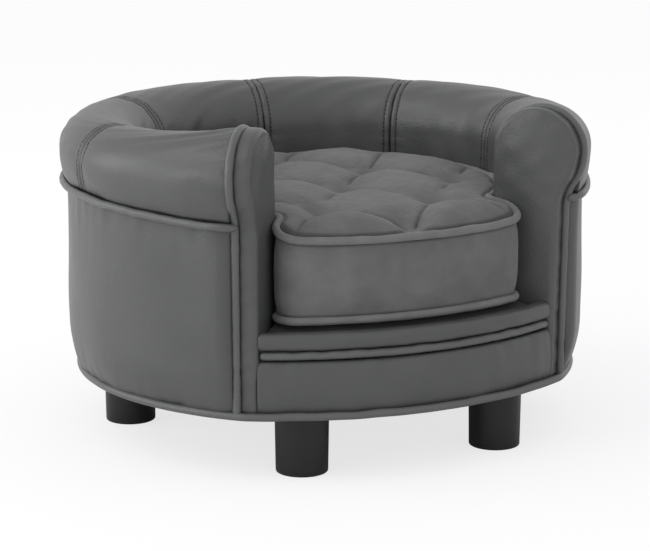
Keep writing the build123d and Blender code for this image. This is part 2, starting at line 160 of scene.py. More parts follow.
def resampled(path: Array, step: float) -> Array:
    """Evenly spaced places along a line of places.

    Args:
        path: The line.
        step: About how far apart the new places are.

    Returns:
        The new places.
    """
    run = np.concatenate([[0], np.cumsum(np.linalg.norm(np.diff(path, axis=0), axis=1))])
    where = np.linspace(0, run[-1], max(2, int(run[-1] / step)))
    return np.stack([np.interp(where, run, path[:, k]) for k in range(path.shape[1])], axis=1)


@dataclass(frozen=True)
class Fade:
    """A height that dies away with a distance d as exp(-(d / width)^power)."""

    height: float
    width: float
    power: float = 1

    def at(self, distance: Array) -> Array:
        """What is left of the height at distances."""
        return self.height * np.exp(-((distance / self.width) ** self.power))


@dataclass(frozen=True)
class Ripples:
    """Soft irregular waves: a sum of sine waves whose directions and phases come from a seed."""

    seed: int
    longest: float
    shortest: float
    height: float = 1.0
    count: int = 14

    def at(self, across: Array, along: Array | float = 0.0, shift: int = 0) -> Array:
        """The waves over two lengths: the sum of the sines, divided by the root of their number.

        Args:
            across: One coordinate, in metres.
            along: The other.
            shift: What is added to the seed.

        Returns:
            Heights, mostly between the ripples' height and its negative.
        """
        draw = np.random.default_rng(self.seed + shift)
        lengths = np.geomspace(self.longest, self.shortest, self.count)
        turns = draw.uniform(0, 2 * np.pi, self.count)
        phases = draw.uniform(0, 2 * np.pi, self.count)
        total = np.zeros(np.broadcast(across, along).shape)
        for length, turn, phase in zip(lengths, turns, phases):
            way = across * math.cos(turn) + along * math.sin(turn)
            total = total + np.sin(2 * np.pi * way / length + phase)
        return self.height * (total / math.sqrt(self.count))


@dataclass(frozen=True)
class Cord:
    """A piping whose girth is a little uneven along its run."""

    radius: float
    ripples: Ripples

    def girth(self, run: Array, shift: int = 0) -> Array:
        """Radii at distances along the run."""
        return self.radius * (1 + self.ripples.at(run, shift=shift))


def write_crease(mesh: Mesh, values: Array) -> None:
    """Stores how deep in a crease each point of a mesh lies, from 0 to 1, which the finishes paint as shade.
    """
    crease = mesh.attributes.new("crease", "FLOAT", "POINT")
    crease.data.foreach_set("value", values.astype(np.float32))


def read_points(mesh: Mesh) -> Array:
    """The places of a mesh's points.

    Args:
        mesh: The mesh.

    Returns:
        An array of places.
    """
    flat = np.empty(len(mesh.vertices) * 3, np.float32)
    mesh.vertices.foreach_get("co", flat)
    return flat.reshape(-1, 3).astype(float)


def write_points(mesh: Mesh, points: Array) -> None:
    """Moves a mesh's points to new places."""
    mesh.vertices.foreach_set("co", points.astype(np.float32).ravel())
    mesh.update()


def smoothed(mesh: Mesh) -> None:
    """Makes a mesh's faces look smooth."""
    mesh.polygons.foreach_set("use_smooth", np.ones(len(mesh.polygons), bool))
    mesh.update()


@dataclass
class Shape:
    """A surface as arrays: points, quads and how deep in a crease each point lies, for painted shade."""

    points: Array
    quads: Array
    crease: Array | None = None

    @classmethod
    def from_grid(
        cls, grid: Array, core: Array, closed: bool = False, crease: Array | None = None
    ) -> "Shape":
        """The surface through a grid of points, turned over if most of its area faces its core.

        Args:
            grid: Places, by row and column.
            core: A place inside the surface for each of them, or one for all.
            closed: Whether each row is a loop.
            crease: How deep in a crease each place lies, from 0 to 1, for painted shade.

        Returns:
            The surface with its faces outwards.
        """
        rows, columns = grid.shape[:2]
        row = np.arange(rows - 1)[:, None] * columns
        column = np.arange(columns if closed else columns - 1)[None, :]
        after = (column + 1) % columns
        around = (row + column, row + after, row + columns + after, row + columns + column)
        quads = np.stack([corner.ravel() for corner in around], axis=1)
        points = grid.reshape(-1, 3)
        corners = points[quads]
        inside = np.broadcast_to(core, grid.shape).reshape(-1, 3)[quads]
        normal = np.cross(corners[:, 2] - corners[:, 0], corners[:, 3] - corners[:, 1])
        if np.sum(normal * (corners - inside).mean(axis=1)) <= 0:
            quads = quads[:, ::-1]
        painted_shade = None if crease is None else np.broadcast_to(crease, (rows, columns)).ravel()
        return cls(points, quads, painted_shade)

    def mesh(self, name: str, merge: float = 0.0) -> Mesh:
        """A smooth mesh of the surface.

        Args:
            name: The mesh's name.
            merge: Distance within which points become one.

        Returns:
            The mesh.
        """
        mesh = bpy.data.meshes.new(name)
        mesh.vertices.add(len(self.points))
        mesh.vertices.foreach_set("co", np.ascontiguousarray(self.points, np.float32).ravel())
        mesh.loops.add(self.quads.size)
        mesh.loops.foreach_set("vertex_index", np.ascontiguousarray(self.quads, np.int32).ravel())
        mesh.polygons.add(len(self.quads))
        mesh.polygons.foreach_set("loop_start", np.arange(0, self.quads.size, 4, dtype=np.int32))
        mesh.update(calc_edges=True)
        if self.crease is not None:
            write_crease(mesh, self.crease)
        if merge:
            sewn = bmesh.new()
            sewn.from_mesh(mesh)
            bmesh.ops.remove_doubles(sewn, verts=sewn.verts, dist=merge)
            sewn.to_mesh(mesh)
            sewn.free()
        mesh.validate()
        smoothed(mesh)
        return mesh


def tube(path: Array, radius: Array, up: Array = UP, sides: int = 18, closed: bool = False) -> Shape:
    """A round cord along a path, its open ends domed.

    A point is the path's place plus the radius times cos(a) of the upward normal plus sin(a) of the
    sideways one, for angles a round the cord. At an open end the same is done for rings that step
    along the path by radius times sin(b) and narrow by cos(b).

    Args:
        path: Places along the cord.
        radius: Its radius at each place.
        up: A direction that is never along the path.
        sides: Points round the cord.
        closed: Whether the path is a loop.

    Returns:
        The closed surface.
    """
    size = np.asarray(radius, float)
    if closed:
        heading = np.roll(path, -1, axis=0) - np.roll(path, 1, axis=0)
    else:
        heading = np.gradient(path, axis=0)
    heading /= np.linalg.norm(heading, axis=1, keepdims=True)
    if not closed:
        dome = np.linspace(0, np.pi / 2, DOME_RINGS)
        start = path[0] - heading[0] * (size[0] * np.sin(dome[:0:-1]))[:, None]
        end = path[-1] + heading[-1] * (size[-1] * np.sin(dome[1:]))[:, None]
        path = np.concatenate([start, path, end])
        size = np.concatenate([size[0] * np.cos(dome[:0:-1]), size, size[-1] * np.cos(dome[1:])])
        heading = np.pad(heading, ((len(start), len(end)), (0, 0)), mode="edge")
    upward = up - heading * (heading @ up)[:, None]
    upward /= np.linalg.norm(upward, axis=1, keepdims=True)
    angle = np.linspace(0, 2 * np.pi, sides, endpoint=False)[None, :, None]
    ring = upward[:, None] * np.cos(angle) + np.cross(heading, upward)[:, None] * np.sin(angle)
    grid = path[:, None] + ring * size[:, None, None]
    if closed:
        grid, path = looped(grid), looped(path)
    return Shape.from_grid(grid, path[:, None], closed=True)


# Finishes


def put(tree: Tree, node: Node, **values: object) -> Node:
    """Sets a node's properties and inputs.

    Args:
        tree: The node's tree.
        node: The node.
        **values: Properties in small letters, and inputs with _ for a space, each a constant or
            the socket that it is joined to.

    Returns:
        The node.
    """
    for key, value in values.items():
        if key[0].islower():
            setattr(node, key, value)
        elif isinstance(value, Socket):
            tree.links.new(value, node.inputs[key.replace("_", " ")])
        else:
            node.inputs[key.replace("_", " ")].default_value = value
    return node


def shader(tree: Tree, kind: str, **values: object) -> Node:
    """A new node of a kind, set as put does it."""
    return put(tree, tree.nodes.new("ShaderNode" + kind), **values)


@dataclass(frozen=True)
class Finish:
    """What every finish shares: colour and gloss that vary in soft patches, with painted shade in creases."""

    name: str
    colour: Triple
    roughness: float
    variation: float = 0.08
    patch: float = 0.05
    # Share of the colour that painted shade takes away where the crease attribute is 1.
    crease: float = 0.82
    specular: float = 0.5
    gloss_range: Pair = (0.9, 1.1)
    cloud_range: Pair = (0.3, 0.7)
    cloud_fineness: Pair = (3.0, 0.55)

    def coordinates(self, tree: Tree) -> Socket:
        """The object's own coordinates."""
        return tree.nodes.new("ShaderNodeTexCoord").outputs["Object"]

    def layers(self, tree: Tree, surface: Node, place: Socket) -> Bumps:
        """The bumps' heights and depths in metres; a finish without its own has none."""
        return []

    def material(self) -> Material:
        """The finish as a material.

        Returns:
            The material.
        """
        material = bpy.data.materials.new(self.name)
        material.use_nodes = True
        tree = material.node_tree
        surface = put(tree, tree.nodes["Principled BSDF"], Specular_IOR_Level=self.specular)
        place = self.coordinates(tree)
        detail, rough = self.cloud_fineness
        cloud = shader(tree, "TexNoise", Vector=place, Scale=1 / self.patch, Detail=detail, Roughness=rough)
        cloud = cloud.outputs["Fac"]
        low, high = self.cloud_range
        tone = shader(tree, "MapRange", Value=cloud, From_Min=low, From_Max=high)
        mix = shader(tree, "Mix", data_type="RGBA", Factor=tone.outputs["Result"])
        for number, share in zip(COLOUR_INPUTS, (1 - self.variation, 1 + self.variation)):
            mix.inputs[number].default_value = (*(min(1.0, part * share) for part in self.colour), 1.0)
        # Painted shade: the crease attribute darkens the colour in grooves, seams and recesses.
        painted_shade = shader(tree, "Attribute", attribute_name="crease").outputs["Fac"]
        left = shader(tree, "MapRange", Value=painted_shade, To_Min=1.0, To_Max=1 - self.crease).outputs["Result"]
        mixed = mix.outputs[COLOUR_OUTPUT]
        dark = shader(tree, "VectorMath", operation="SCALE", Vector=mixed, Scale=left)
        low, high = (min(1.0, self.roughness * share) for share in self.gloss_range)
        gloss = shader(tree, "MapRange", Value=cloud, To_Min=low, To_Max=high)
        put(tree, surface, Base_Color=dark.outputs["Vector"], Roughness=gloss.outputs["Result"])
        for height, depth in self.layers(tree, surface, place):
            bump = shader(tree, "Bump", Height=height, Distance=depth, Strength=1.0)
            for link in surface.inputs["Normal"].links:
                tree.links.new(link.from_socket, bump.inputs["Normal"])
            tree.links.new(bump.outputs["Normal"], surface.inputs["Normal"])
        return material


@dataclass(frozen=True)
class Leather(Finish):
    """Satin faux leather: fine cells of grain over soft dents, with a low broad gloss."""

    grain: float = 0.0017
    grain_depth: float = 0.00016
    dent: float = 0.016
    dent_depth: float = 0.0003

    def layers(self, tree: Tree, surface: Node, place: Socket) -> Bumps:
        """The dents and the grain on them.

        Args:
            tree: The material's tree.
            surface: Its shader; not used.
            place: The socket of the coordinates.

        Returns:
            The bumps' height sockets and their depths.
        """
        dents = shader(tree, "TexNoise", Vector=place, Scale=1 / self.dent, Detail=2.0)
        cells = shader(tree, "TexVoronoi", Vector=place, Scale=1 / self.grain, feature="SMOOTH_F1")
        return [(dents.outputs["Fac"], self.dent_depth), (cells.outputs["Distance"], self.grain_depth)]


@dataclass(frozen=True)
class Plush(Finish):
    """Short plush: cloudy nap, a fine uneven pile and a soft sheen."""

    pile: float = 0.0016
    pile_depth: float = 0.0005
    nap: float = 0.008
    nap_depth: float = 0.0011
    fineness: Pair = (4.0, 0.65)
    sheen: float = 0.14
    sheen_roughness: float = 0.45

    def layers(self, tree: Tree, surface: Node, place: Socket) -> Bumps:
        """The nap and the pile on it; the sheen is set too.

        Args:
            tree: The material's tree.
            surface: Its shader.
            place: The socket of the coordinates.

        Returns:
            The bumps' height sockets and their depths.
        """
        put(tree, surface, Sheen_Weight=self.sheen, Sheen_Roughness=self.sheen_roughness)
        nap = shader(tree, "TexNoise", Vector=place, Scale=1 / self.nap, Detail=3.0)
        detail, rough = self.fineness
        pile = shader(tree, "TexNoise", Vector=place, Scale=1 / self.pile, Detail=detail, Roughness=rough)
        return [(nap.outputs["Fac"], self.nap_depth), (pile.outputs["Fac"], self.pile_depth)]


@dataclass(frozen=True)
class Plain(Finish):
    """Moulded, sawn, spun or plated stuff: patches of tone and one fine relief."""

    grain: float = 0.002
    grain_depth: float = 0.0001
    stretch: Triple = (1.0, 1.0, 1.0)
    metallic: float = 0.0

    def coordinates(self, tree: Tree) -> Socket:
        """The object's own coordinates, stretched."""
        place = super().coordinates(tree)
        return shader(tree, "Mapping", Vector=place, Scale=self.stretch).outputs["Vector"]

    def layers(self, tree: Tree, surface: Node, place: Socket) -> Bumps:
        """The fine relief; the metal's share is set too.

        Args:
            tree: The material's tree.
            surface: Its shader.
            place: The socket of the coordinates.

        Returns:
            The bumps' height sockets and their depths.
        """
        put(tree, surface, Metallic=self.metallic)
        fine = shader(tree, "TexNoise", Vector=place, Scale=1 / self.grain, Detail=4.0)
        return [(fine.outputs["Fac"], self.grain_depth)]


THREAD = Plain("grey_thread", (0.012, 0.012, 0.013), 0.6, grain=0.0004)
FINISHES: dict[Slot, Finish] = {
    Slot.LEATHER: Leather("grey_leather", (0.064, 0.065, 0.067), 0.40, variation=0.06, specular=0.55),
    Slot.PIPING: Leather(
        "piping_leather", (0.092, 0.093, 0.095), 0.40, variation=0.06, dent=0.005, dent_depth=0.0002
    ),
    Slot.PLUSH: Plush(
        "grey_plush", (0.134, 0.135, 0.137), 0.9, variation=0.16, patch=0.035, specular=0.2
    ),
    Slot.PLUSH_PIPING: Plush(
        "plush_piping", (0.160, 0.161, 0.163), 0.9, variation=0.12, patch=0.02, specular=0.2
    ),
    Slot.PLASTIC: Plain(
        "black_plastic", (0.008, 0.008, 0.009), 0.40, specular=0.38, grain=0.0009, grain_depth=0.00003
    ),
    # Charcoal foam; its dark colour also makes glimpses of it through gaps between the covers read as painted
    # shade.
    Slot.FOAM: Plain("charcoal_foam_as_shade", (0.050, 0.050, 0.054), 0.95, grain=0.0015, grain_depth=0.0006),
    Slot.PLYWOOD: Plain(
        "plywood", (0.55, 0.36, 0.19), 0.65, variation=0.25, patch=0.02, stretch=(1.0, 0.12, 4.0)
    ),
    Slot.STEEL: Plain("zinc_steel", (0.55, 0.56, 0.58), 0.32, metallic=1.0),
    Slot.NON_WOVEN: Plain("non_woven", (0.020, 0.020, 0.022), 0.9, grain=0.0012, grain_depth=0.0003),
}


class Wardrobe:
    """Every finish of the sofa, each made once, and the pieces that wear them."""

    def __init__(self) -> None:
        """Makes the materials."""
        self.finish = {slot: finish.material() for slot, finish in FINISHES.items()}
        self.thread = THREAD.material()

    def carry_over(self) -> None:
        """Gives every CAD node the finish of its slot."""
        for part in frame["record"]["subparts"]:
            node = frame["nodes"][part["node"]]
            finish = self.finish[Slot(part["material_slot"])]
            if not node.material_slots:
                node.data.materials.append(finish)
            for slot in node.material_slots:
                slot.material = finish
            LOG.info("%s: %s", part["node"], finish.name)

    def add(
        self,
        name: str,
        shape: Shape,
        slot: Slot,
        nodes: Sequence[str] = (),
        body: Body = Body.SOFA,
        finish: Material | None = None,
        fill: float | None = None,
        skin: float = 0.0,
        merge: float = 0.0,
    ) -> Piece:
        """Makes a piece of the sofa and says what it stands for.

        Args:
            name: The piece's name.
            shape: Its surface.
            slot: The record's slot of its finish.
            nodes: CAD nodes that it stands for.
            body: The body that it rides on.
            finish: Its material, if it isn't the slot's.
            fill: How full it is, if it is padded; not used.
            skin: Thickness of its cloth behind the surface, or 0 for a closed piece.
            merge: Distance within which points become one.

        Returns:
            The object, whose place is in its mesh.
        """
        piece = bpy.data.objects.new(name, shape.mesh(name, merge))
        bpy.context.scene.collection.objects.link(piece)
        piece.data.materials.append(finish or self.finish[slot])
        if skin:
            cloth = piece.modifiers.new("cloth", "SOLIDIFY")
            cloth.thickness = skin
            cloth.offset = -1.0
        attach(piece, body.value)
        if nodes:
            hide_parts(*nodes)
        LOG.info("%s: %d faces, stands for %s", name, len(piece.data.polygons), list(nodes))
        return piece


# Plans


@dataclass(frozen=True)
class Ring:
    """The plan that the sub-assemblies share: the wall's axis, the arms' faces and the front arc."""

    axis_y: float = -0.0156
    nest: float = 0.163
    wall: float = 0.2345
    wall_core: float = 0.2
    arm_turn: float = math.radians(40.0)
    front_arc: float = 0.305
    front_core: float = 0.275
    front_axis: float = 0.101
    full: float = 2 * math.pi

    def place(self, radius: Array, turn: Array, height: Array, behind: float = 0.0) -> Array:
        """Places about the axis, or one behind it: x is r sin t, y is the axis's less r cos t."""
        return stacked(radius * np.sin(turn), self.axis_y + behind - radius * np.cos(turn), height)

    def front_place(self, radius: Array, angle: Array, height: Array) -> Array:
        """Places about the front arc's axis."""
        return self.place(radius, angle, height, self.front_axis)

    def planned(self, plan: Array, height: Array) -> Array:
        """Places from plan coordinates about the axis, and heights."""
        return stacked(plan[..., 0], plan[..., 1] + self.axis_y, height)

    def directions(self, side: Side) -> tuple[Array, Array]:
        """The direction from the axis along an arm's face, and the one out of it into the front."""
        sine, cosine = math.sin(self.arm_turn), math.cos(self.arm_turn)
        return np.array([side.value * sine, -cosine, 0.0]), np.array([-side.value * cosine, -sine, 0.0])

    def turn_behind(self, radius: Array, depth: float) -> Array:
        """The turn at a radius where a plane a depth behind the right arm's face lies."""
        return self.arm_turn + np.arcsin(depth / radius)

    def arc_angle(self, radius: Array, gap: float) -> Array:
        """The angle about the front arc's axis at which a radius meets the arm's face less a gap."""
        return self.arm_turn - np.arcsin((gap + self.front_axis * math.sin(self.arm_turn)) / radius)


RING = Ring()


def arc(start: Array, end: Array, centre: Array, count: int) -> Array:
    """Places on the shorter arc about a centre, without its end.

    Args:
        start: The arc's first place.
        end: Its end.
        centre: Its centre.
        count: How many places it gets.

    Returns:
        Plan places at even steps of the angle.
    """
    first, last = start - centre, end - centre
    begin = math.atan2(first[1], first[0])
    sweep = (math.atan2(last[1], last[0]) - begin + math.pi) % (2 * math.pi) - math.pi
    angle = begin + sweep * np.arange(count) / count
    return centre + np.linalg.norm(first) * np.stack([np.cos(angle), np.sin(angle)], axis=1)


def mirrored(arcs: list[Array], front: Array) -> Array:
    """A whole outline: its right half from the back, the foremost place and the left half."""
    half = np.concatenate(arcs)
    return np.concatenate([half, [front], (half[1:] * [-1, 1])[::-1]])


@dataclass(frozen=True)
class NestPlan:
    """The T-shaped plan of what lies in the nest: a disc that runs out between the arms."""

    gap: float = 0.0007
    lead: float = 0.0155
    tip: float = 0.018
    notch: float = 0.0047
    counts: tuple[int, int, int, int, int] = (130, 10, 6, 18, 46)

    def outline(self, inset: float) -> Array:
        """The outline, smaller all round by an inset, from the back round by the right.

        A half is an arc about the axis, a hollow one that touches it and the arm's side, the side,
        an ear's arc that touches the side and the front arc, and half of the front arc.

        Args:
            inset: How much smaller it is.

        Returns:
            Plan coordinates, the same number of them for every inset.
        """
        along, away = (direction[:2] for direction in RING.directions(Side.RIGHT))
        middle = np.array([0.0, RING.front_axis])
        radius = RING.nest - self.gap - inset
        gap = self.gap + inset
        notch = self.notch + inset
        lead = RING.front_arc - self.lead - inset
        notch_run = math.sqrt((radius + notch) ** 2 - (gap - notch) ** 2)
        notch_centre = away * (gap - notch) + along * notch_run
        reach = away * (gap + self.tip) - middle
        slope = float(reach @ along)
        tip_run = math.sqrt(slope**2 - float(reach @ reach) + (lead - self.tip) ** 2) - slope
        tip_centre = away * (gap + self.tip) + along * tip_run
        notch_round = notch_centre * (radius / (radius + notch))
        notch_side = notch_centre + away * notch
        tip_side = tip_centre - away * self.tip
        tip_front = middle + (tip_centre - middle) * (lead / (lead - self.tip))
        front = np.array([0.0, RING.front_axis - lead])
        back = np.array([0.0, radius])
        share = (np.arange(self.counts[2]) / self.counts[2])[:, None]
        arcs = [
            arc(back, notch_round, np.zeros(2), self.counts[0]),
            arc(notch_round, notch_side, notch_centre, self.counts[1]),
            notch_side + (tip_side - notch_side) * share,
            arc(tip_side, tip_front, tip_centre, self.counts[3]),
            arc(tip_front, front, middle, self.counts[4]),
        ]
        return mirrored(arcs, front)


@dataclass(frozen=True)
class BasePlan:
    """The base's plan: a disc whose front is the flatter front arc, with rounded corners."""

    corner: float = 0.024
    counts: tuple[int, int, int] = (150, 10, 60)

    def outline(self, radius: float, inset: float) -> Array:
        """The outline from the back round by the right: a big arc, a corner's arc, the front arc.

        Args:
            radius: The disc's radius.
            inset: How far the front lies behind the front arc.

        Returns:
            Plan coordinates.
        """
        middle = np.array([0.0, RING.front_axis])
        lead = RING.front_arc - inset
        run = radius - self.corner
        across = (run**2 - (lead - self.corner) ** 2 + RING.front_axis**2) / (2 * RING.front_axis)
        centre = np.array([math.sqrt(run**2 - across**2), across])
        side = centre * (radius / run)
        tip = middle + (centre - middle) * (lead / (lead - self.corner))
        front = np.array([0.0, RING.front_axis - lead])
        arcs = [
            arc(np.array([0.0, radius]), side, np.zeros(2), self.counts[0]),
            arc(side, tip, centre, self.counts[1]),
            arc(tip, front, middle, self.counts[2]),
        ]
        return mirrored(arcs, front)


# Rolled top


@dataclass
class RollTop:
    """The rolled top: six leather panels over foam, their seams, topstitching and the piping below."""

    outer: float = 0.240
    foot_radius: float = 0.236
    foot_height: float = 0.2314
    widest_height: float = 0.254
    widest_rise_share: float = 0.4
    crest_radius: float = 0.206
    crest_height: float = 0.287
    shoulder_height: float = 0.246
    shoulder_rise_share: float = 0.5
    low: float = 0.1096
    arm_rise: float = 0.0145
    end_rise_share: float = 0.3
    arm_sag: float = 0.0080
    sag_power: float = 1.5
    least: float = -0.0013
    seams: tuple[float, ...] = (88.0, 132.0, 176.0, 224.0, 272.0)
    knots: tuple[float, ...] = (0.0, 0.023, 0.075, 0.141, 0.278)
    row_ends: tuple[float, ...] = (0.0, 0.023, 0.075, 0.141, 0.205, 0.278)
    row_counts: tuple[int, ...] = (11, 24, 30, 26, 12)
    column_steps: Triple = (0.45 * MM, 3.2 * MM, 9 * MM)
    column_radius: float = 0.21
    probe: float = 0.5 * MM
    core_heights: Pair = (0.1, 0.25)
    end_depth: float = 0.0194
    end_tucks: tuple[float, ...] = (0.0100, 0.0065, 0.0030, 0.0012, 0.0004)
    cushion_stretch: Pair = (0.165, 0.185)
    fold_stretch: Pair = (0.09, 0.15)
    puff: float = 0.0014
    puff_edge: Fade = Fade(1.0, 0.016)
    dents: Ripples = Ripples(3, 0.16, 0.035, 0.00045)
    gathers: Ripples = Ripples(5, 0.018, 0.008, 0.00032, 6)
    gather_reach: Fade = Fade(1.0, 0.010)
    pulls: Ripples = Ripples(8, 0.05, 0.012, 0.0005, 8)
    pull_reach: Fade = Fade(1.0, 0.018)
    folds: Ripples = Ripples(11, 0.06, 0.022, 0.0006, 9)
    fold_edge: Fade = Fade(1.0, 0.02)
    long_shares: Triple = (0.4, 0.3, 0.35)
    valley: Fade = Fade(0.0013, 0.0010, 1.6)
    valley_shares: Pair = (0.4, 0.6)
    stitch_dip: Fade = Fade(0.0006, 0.0009, 2)
    ridge: Fade = Fade(0.0005, 0.0018, 2)
    ridge_share: float = 0.5
    flare: Fade = Fade(0.0016, 0.010)
    flare_start: float = 0.02
    # Painted shade: darker in the seams' grooves, along the stitch rows, at the arms' tucks and at the foot.
    seam_shade: Fade = Fade(1.0, 0.00085, 2)
    row_shade: Fade = Fade(0.42, 0.0011, 2)
    arm_shade: Fade = Fade(0.8, 0.0014)
    foot_shade: Fade = Fade(0.8, 0.0018)
    stitch_row: float = 0.0063
    stitch_pitch: float = 0.0042
    stitch_stretch: Pair = (0.010, 0.212)
    stitch_size: Triple = (0.0016, 0.00058, 0.00045)
    stitch_lift: float = 0.00022
    stitch_slant: float = 0.0002
    stitch_slant_step: float = 2.4
    stitch_facets: int = 6
    cord: Cord = Cord(0.0035, Ripples(22, 0.03, 0.008, 0.03))
    cord_wave: Ripples = Ripples(21, 0.12, 0.02, 0.00035)
    cord_place: Pair = (0.2382, 0.2276)
    cord_reach: float = 0.0015
    cord_bend: Pair = (0.0075, 0.016)
    cord_keep: float = 0.995
    cord_count: int = 760
    panel_names: tuple[str, ...] = (
        "right_front",
        "right_side",
        "right_back",
        "left_back",
        "left_side",
        "left_front",
    )

    def arm_share(self, turn: Array) -> Array:
        """How far a turn is on the way from the last seam to the arm's face, from 0 to 1."""
        last = math.radians(self.seams[0])
        return np.clip((last - np.minimum(turn, RING.full - turn)) / (last - RING.arm_turn), 0, 1)

    def sag(self, turn: Array) -> Array:
        """How much the roll's outer foot and its piping sink towards an arm."""
        return self.arm_sag * self.arm_share(turn) ** self.sag_power

    def seam_gap(self, turn: Array, radius: Array) -> Array:
        """Distance to the nearest seam."""
        return np.min([np.abs(turn - math.radians(seam)) * radius for seam in self.seams], axis=0)

    def arm_gap(self, turn: Array, radius: Array) -> Array:
        """Distance to the nearer end of the roll."""
        return np.abs(np.minimum(turn, RING.full - turn) - RING.turn_behind(radius, self.end_depth)) * radius

    def section(self, along: Array, rise: Array, sag: Array) -> tuple[Array, Array]:
        """Radius and height along the section, from the outer foot over the crest and down inside.

        Three arcs, each upright at the widest place or at the shoulder and with its centre level
        with it, and a straight line down the nest.

        Args:
            along: Nominal length along the section.
            rise: How much the roll is swollen there.
            sag: How much its foot is sunk there.

        Returns:
            Radii and heights.
        """
        widest = self.widest_height + self.widest_rise_share * rise
        crest = self.crest_height + rise
        shoulder = self.shoulder_height + self.shoulder_rise_share * rise
        ends = zip(self.knots, self.knots[1:])
        share = [np.clip((along - start) / (end - start), 0, 1) for start, end in ends]
        arcs = (
            (self.outer, self.foot_radius, widest, widest - self.foot_height + sag, share[0] - 1),
            (self.outer, self.crest_radius, widest, crest - widest, share[1]),
            (RING.nest, self.crest_radius, shoulder, crest - shoulder, 1 - share[2]),
        )
        radii, heights = [], []
        for upright, other, level, climb, part in arcs:
            run = abs(upright - other)
            bend = bend_radius(run, climb)
            angle = part * np.arctan2(climb, bend - run)
            radii.append(upright + math.copysign(1, other - upright) * bend * (1 - np.cos(angle)))
            heights.append(level + bend * np.sin(angle))
        before = [along < knot for knot in self.knots[1:4]]
        radius = np.select(before, radii, RING.nest)
        return radius, np.select(before, heights, shoulder + (self.low - shoulder) * share[3])

    def padding(self, turn: Array, along: Array, radius: Array) -> Array:
        """How far the leather stands off the plain section.

        It is puffed between the seams, falls into a groove at each, dips under each row of
        stitches, is gathered beside the seams, flares at the arms and lies flat at the cushion.

        Args:
            turn: Turns.
            along: Lengths along the section.
            radius: Radii there.

        Returns:
            Distances outwards.
        """
        seam, arm = self.seam_gap(turn, radius), self.arm_gap(turn, radius)
        free = 1 - smooth_step(along, *self.cushion_stretch)
        at_gathers, at_pulls, at_folds = self.long_shares
        folds = self.folds.at(turn * radius, along * at_folds) * smooth_step(along, *self.fold_stretch)
        soft = (
            self.puff * (1 - self.puff_edge.at(np.minimum(seam, 2 * arm)))
            + self.dents.at(turn * radius, along)
            + self.gathers.at(along, seam * at_gathers) * self.gather_reach.at(seam)
            + self.pulls.at(along, arm * at_pulls) * self.pull_reach.at(arm)
            + folds * (1 - self.fold_edge.at(seam))
        )
        ridge = self.ridge.at(seam - self.ridge_share * self.stitch_row)
        valley = self.valley.at(seam) * (self.valley_shares[0] + self.valley_shares[1] * free)
        dips = self.stitch_dip.at(seam - self.stitch_row) * free
        flare = self.flare.at(arm) * (along > self.flare_start) * free
        return np.maximum(soft * free + ridge - valley - dips + flare, self.least)

    def creases(self, turn: Array, along: Array, radius: Array) -> Array:
        """How much painted shade the leather gets in the seams' grooves, beside the pipings and along the
        stitches.

        Args:
            turn: Turns.
            along: Lengths along the section.
            radius: Radii there.

        Returns:
            Numbers from 0 to 1.
        """
        seam = self.seam_gap(turn, radius)
        edges = self.arm_shade.at(self.arm_gap(turn, radius)) + self.foot_shade.at(along)
        row = self.row_shade.at(seam - self.stitch_row)
        return np.clip(self.seam_shade.at(seam) + row + edges, 0, 1)

    def at(self, turn: Array, along: Array, lift: Array | float = 0.0) -> Array:
        """Places on the leather: the section's, moved along its normal by the padding.

        Args:
            turn: Turns.
            along: Lengths along the section.
            lift: A further distance outwards.

        Returns:
            Places.
        """
        turn, along = np.broadcast_arrays(turn, along)
        bent = self.arm_rise * self.arm_share(turn) ** 2, self.sag(turn)
        radius, height = self.section(along, *bent)
        before = self.section(along - self.probe, *bent)
        after = self.section(along + self.probe, *bent)
        out, up = after[1] - before[1], before[0] - after[0]
        off = (self.padding(turn, along, radius) + lift) / np.hypot(out, up)
        return RING.place(radius + off * out, turn, height + off * up)

    def panel(self, start: float | None, end: float | None) -> Shape:
        """One leather panel; at an arm its end is turned in towards the foam by each of the tucks.

        Args:
            start: The seam where it starts, in degrees, or None at the right arm.
            end: The seam where it ends, or None at the left arm.

        Returns:
            The open surface.
        """
        spans = zip(self.row_ends, self.row_ends[1:], self.row_counts)
        along = np.unique(np.concatenate([np.linspace(*span) for span in spans]))[:, None]
        radius = self.section(along, self.end_rise_share * self.arm_rise, 0.0)[0]
        limit = RING.turn_behind(radius, self.end_depth)
        first = limit if start is None else np.full_like(limit, math.radians(start))
        last = RING.full - limit if end is None else np.full_like(limit, math.radians(end))
        share = spaced(float(np.mean(last - first)) * self.column_radius, *self.column_steps)
        lift = np.zeros_like(share)
        tucks = -np.array(self.end_tucks)
        if start is None:
            share, lift = np.concatenate([0 * tucks, share]), np.concatenate([tucks, lift])
        if end is None:
            share, lift = np.concatenate([share, 0 * tucks + 1]), np.concatenate([lift, tucks[::-1]])
        turn = first + (last - first) * share
        grid = self.at(turn, along, lift)
        core = RING.place(RING.wall_core, turn, np.clip(grid[..., 2], *self.core_heights))
        return Shape.from_grid(grid, core, crease=self.creases(turn, along, radius))

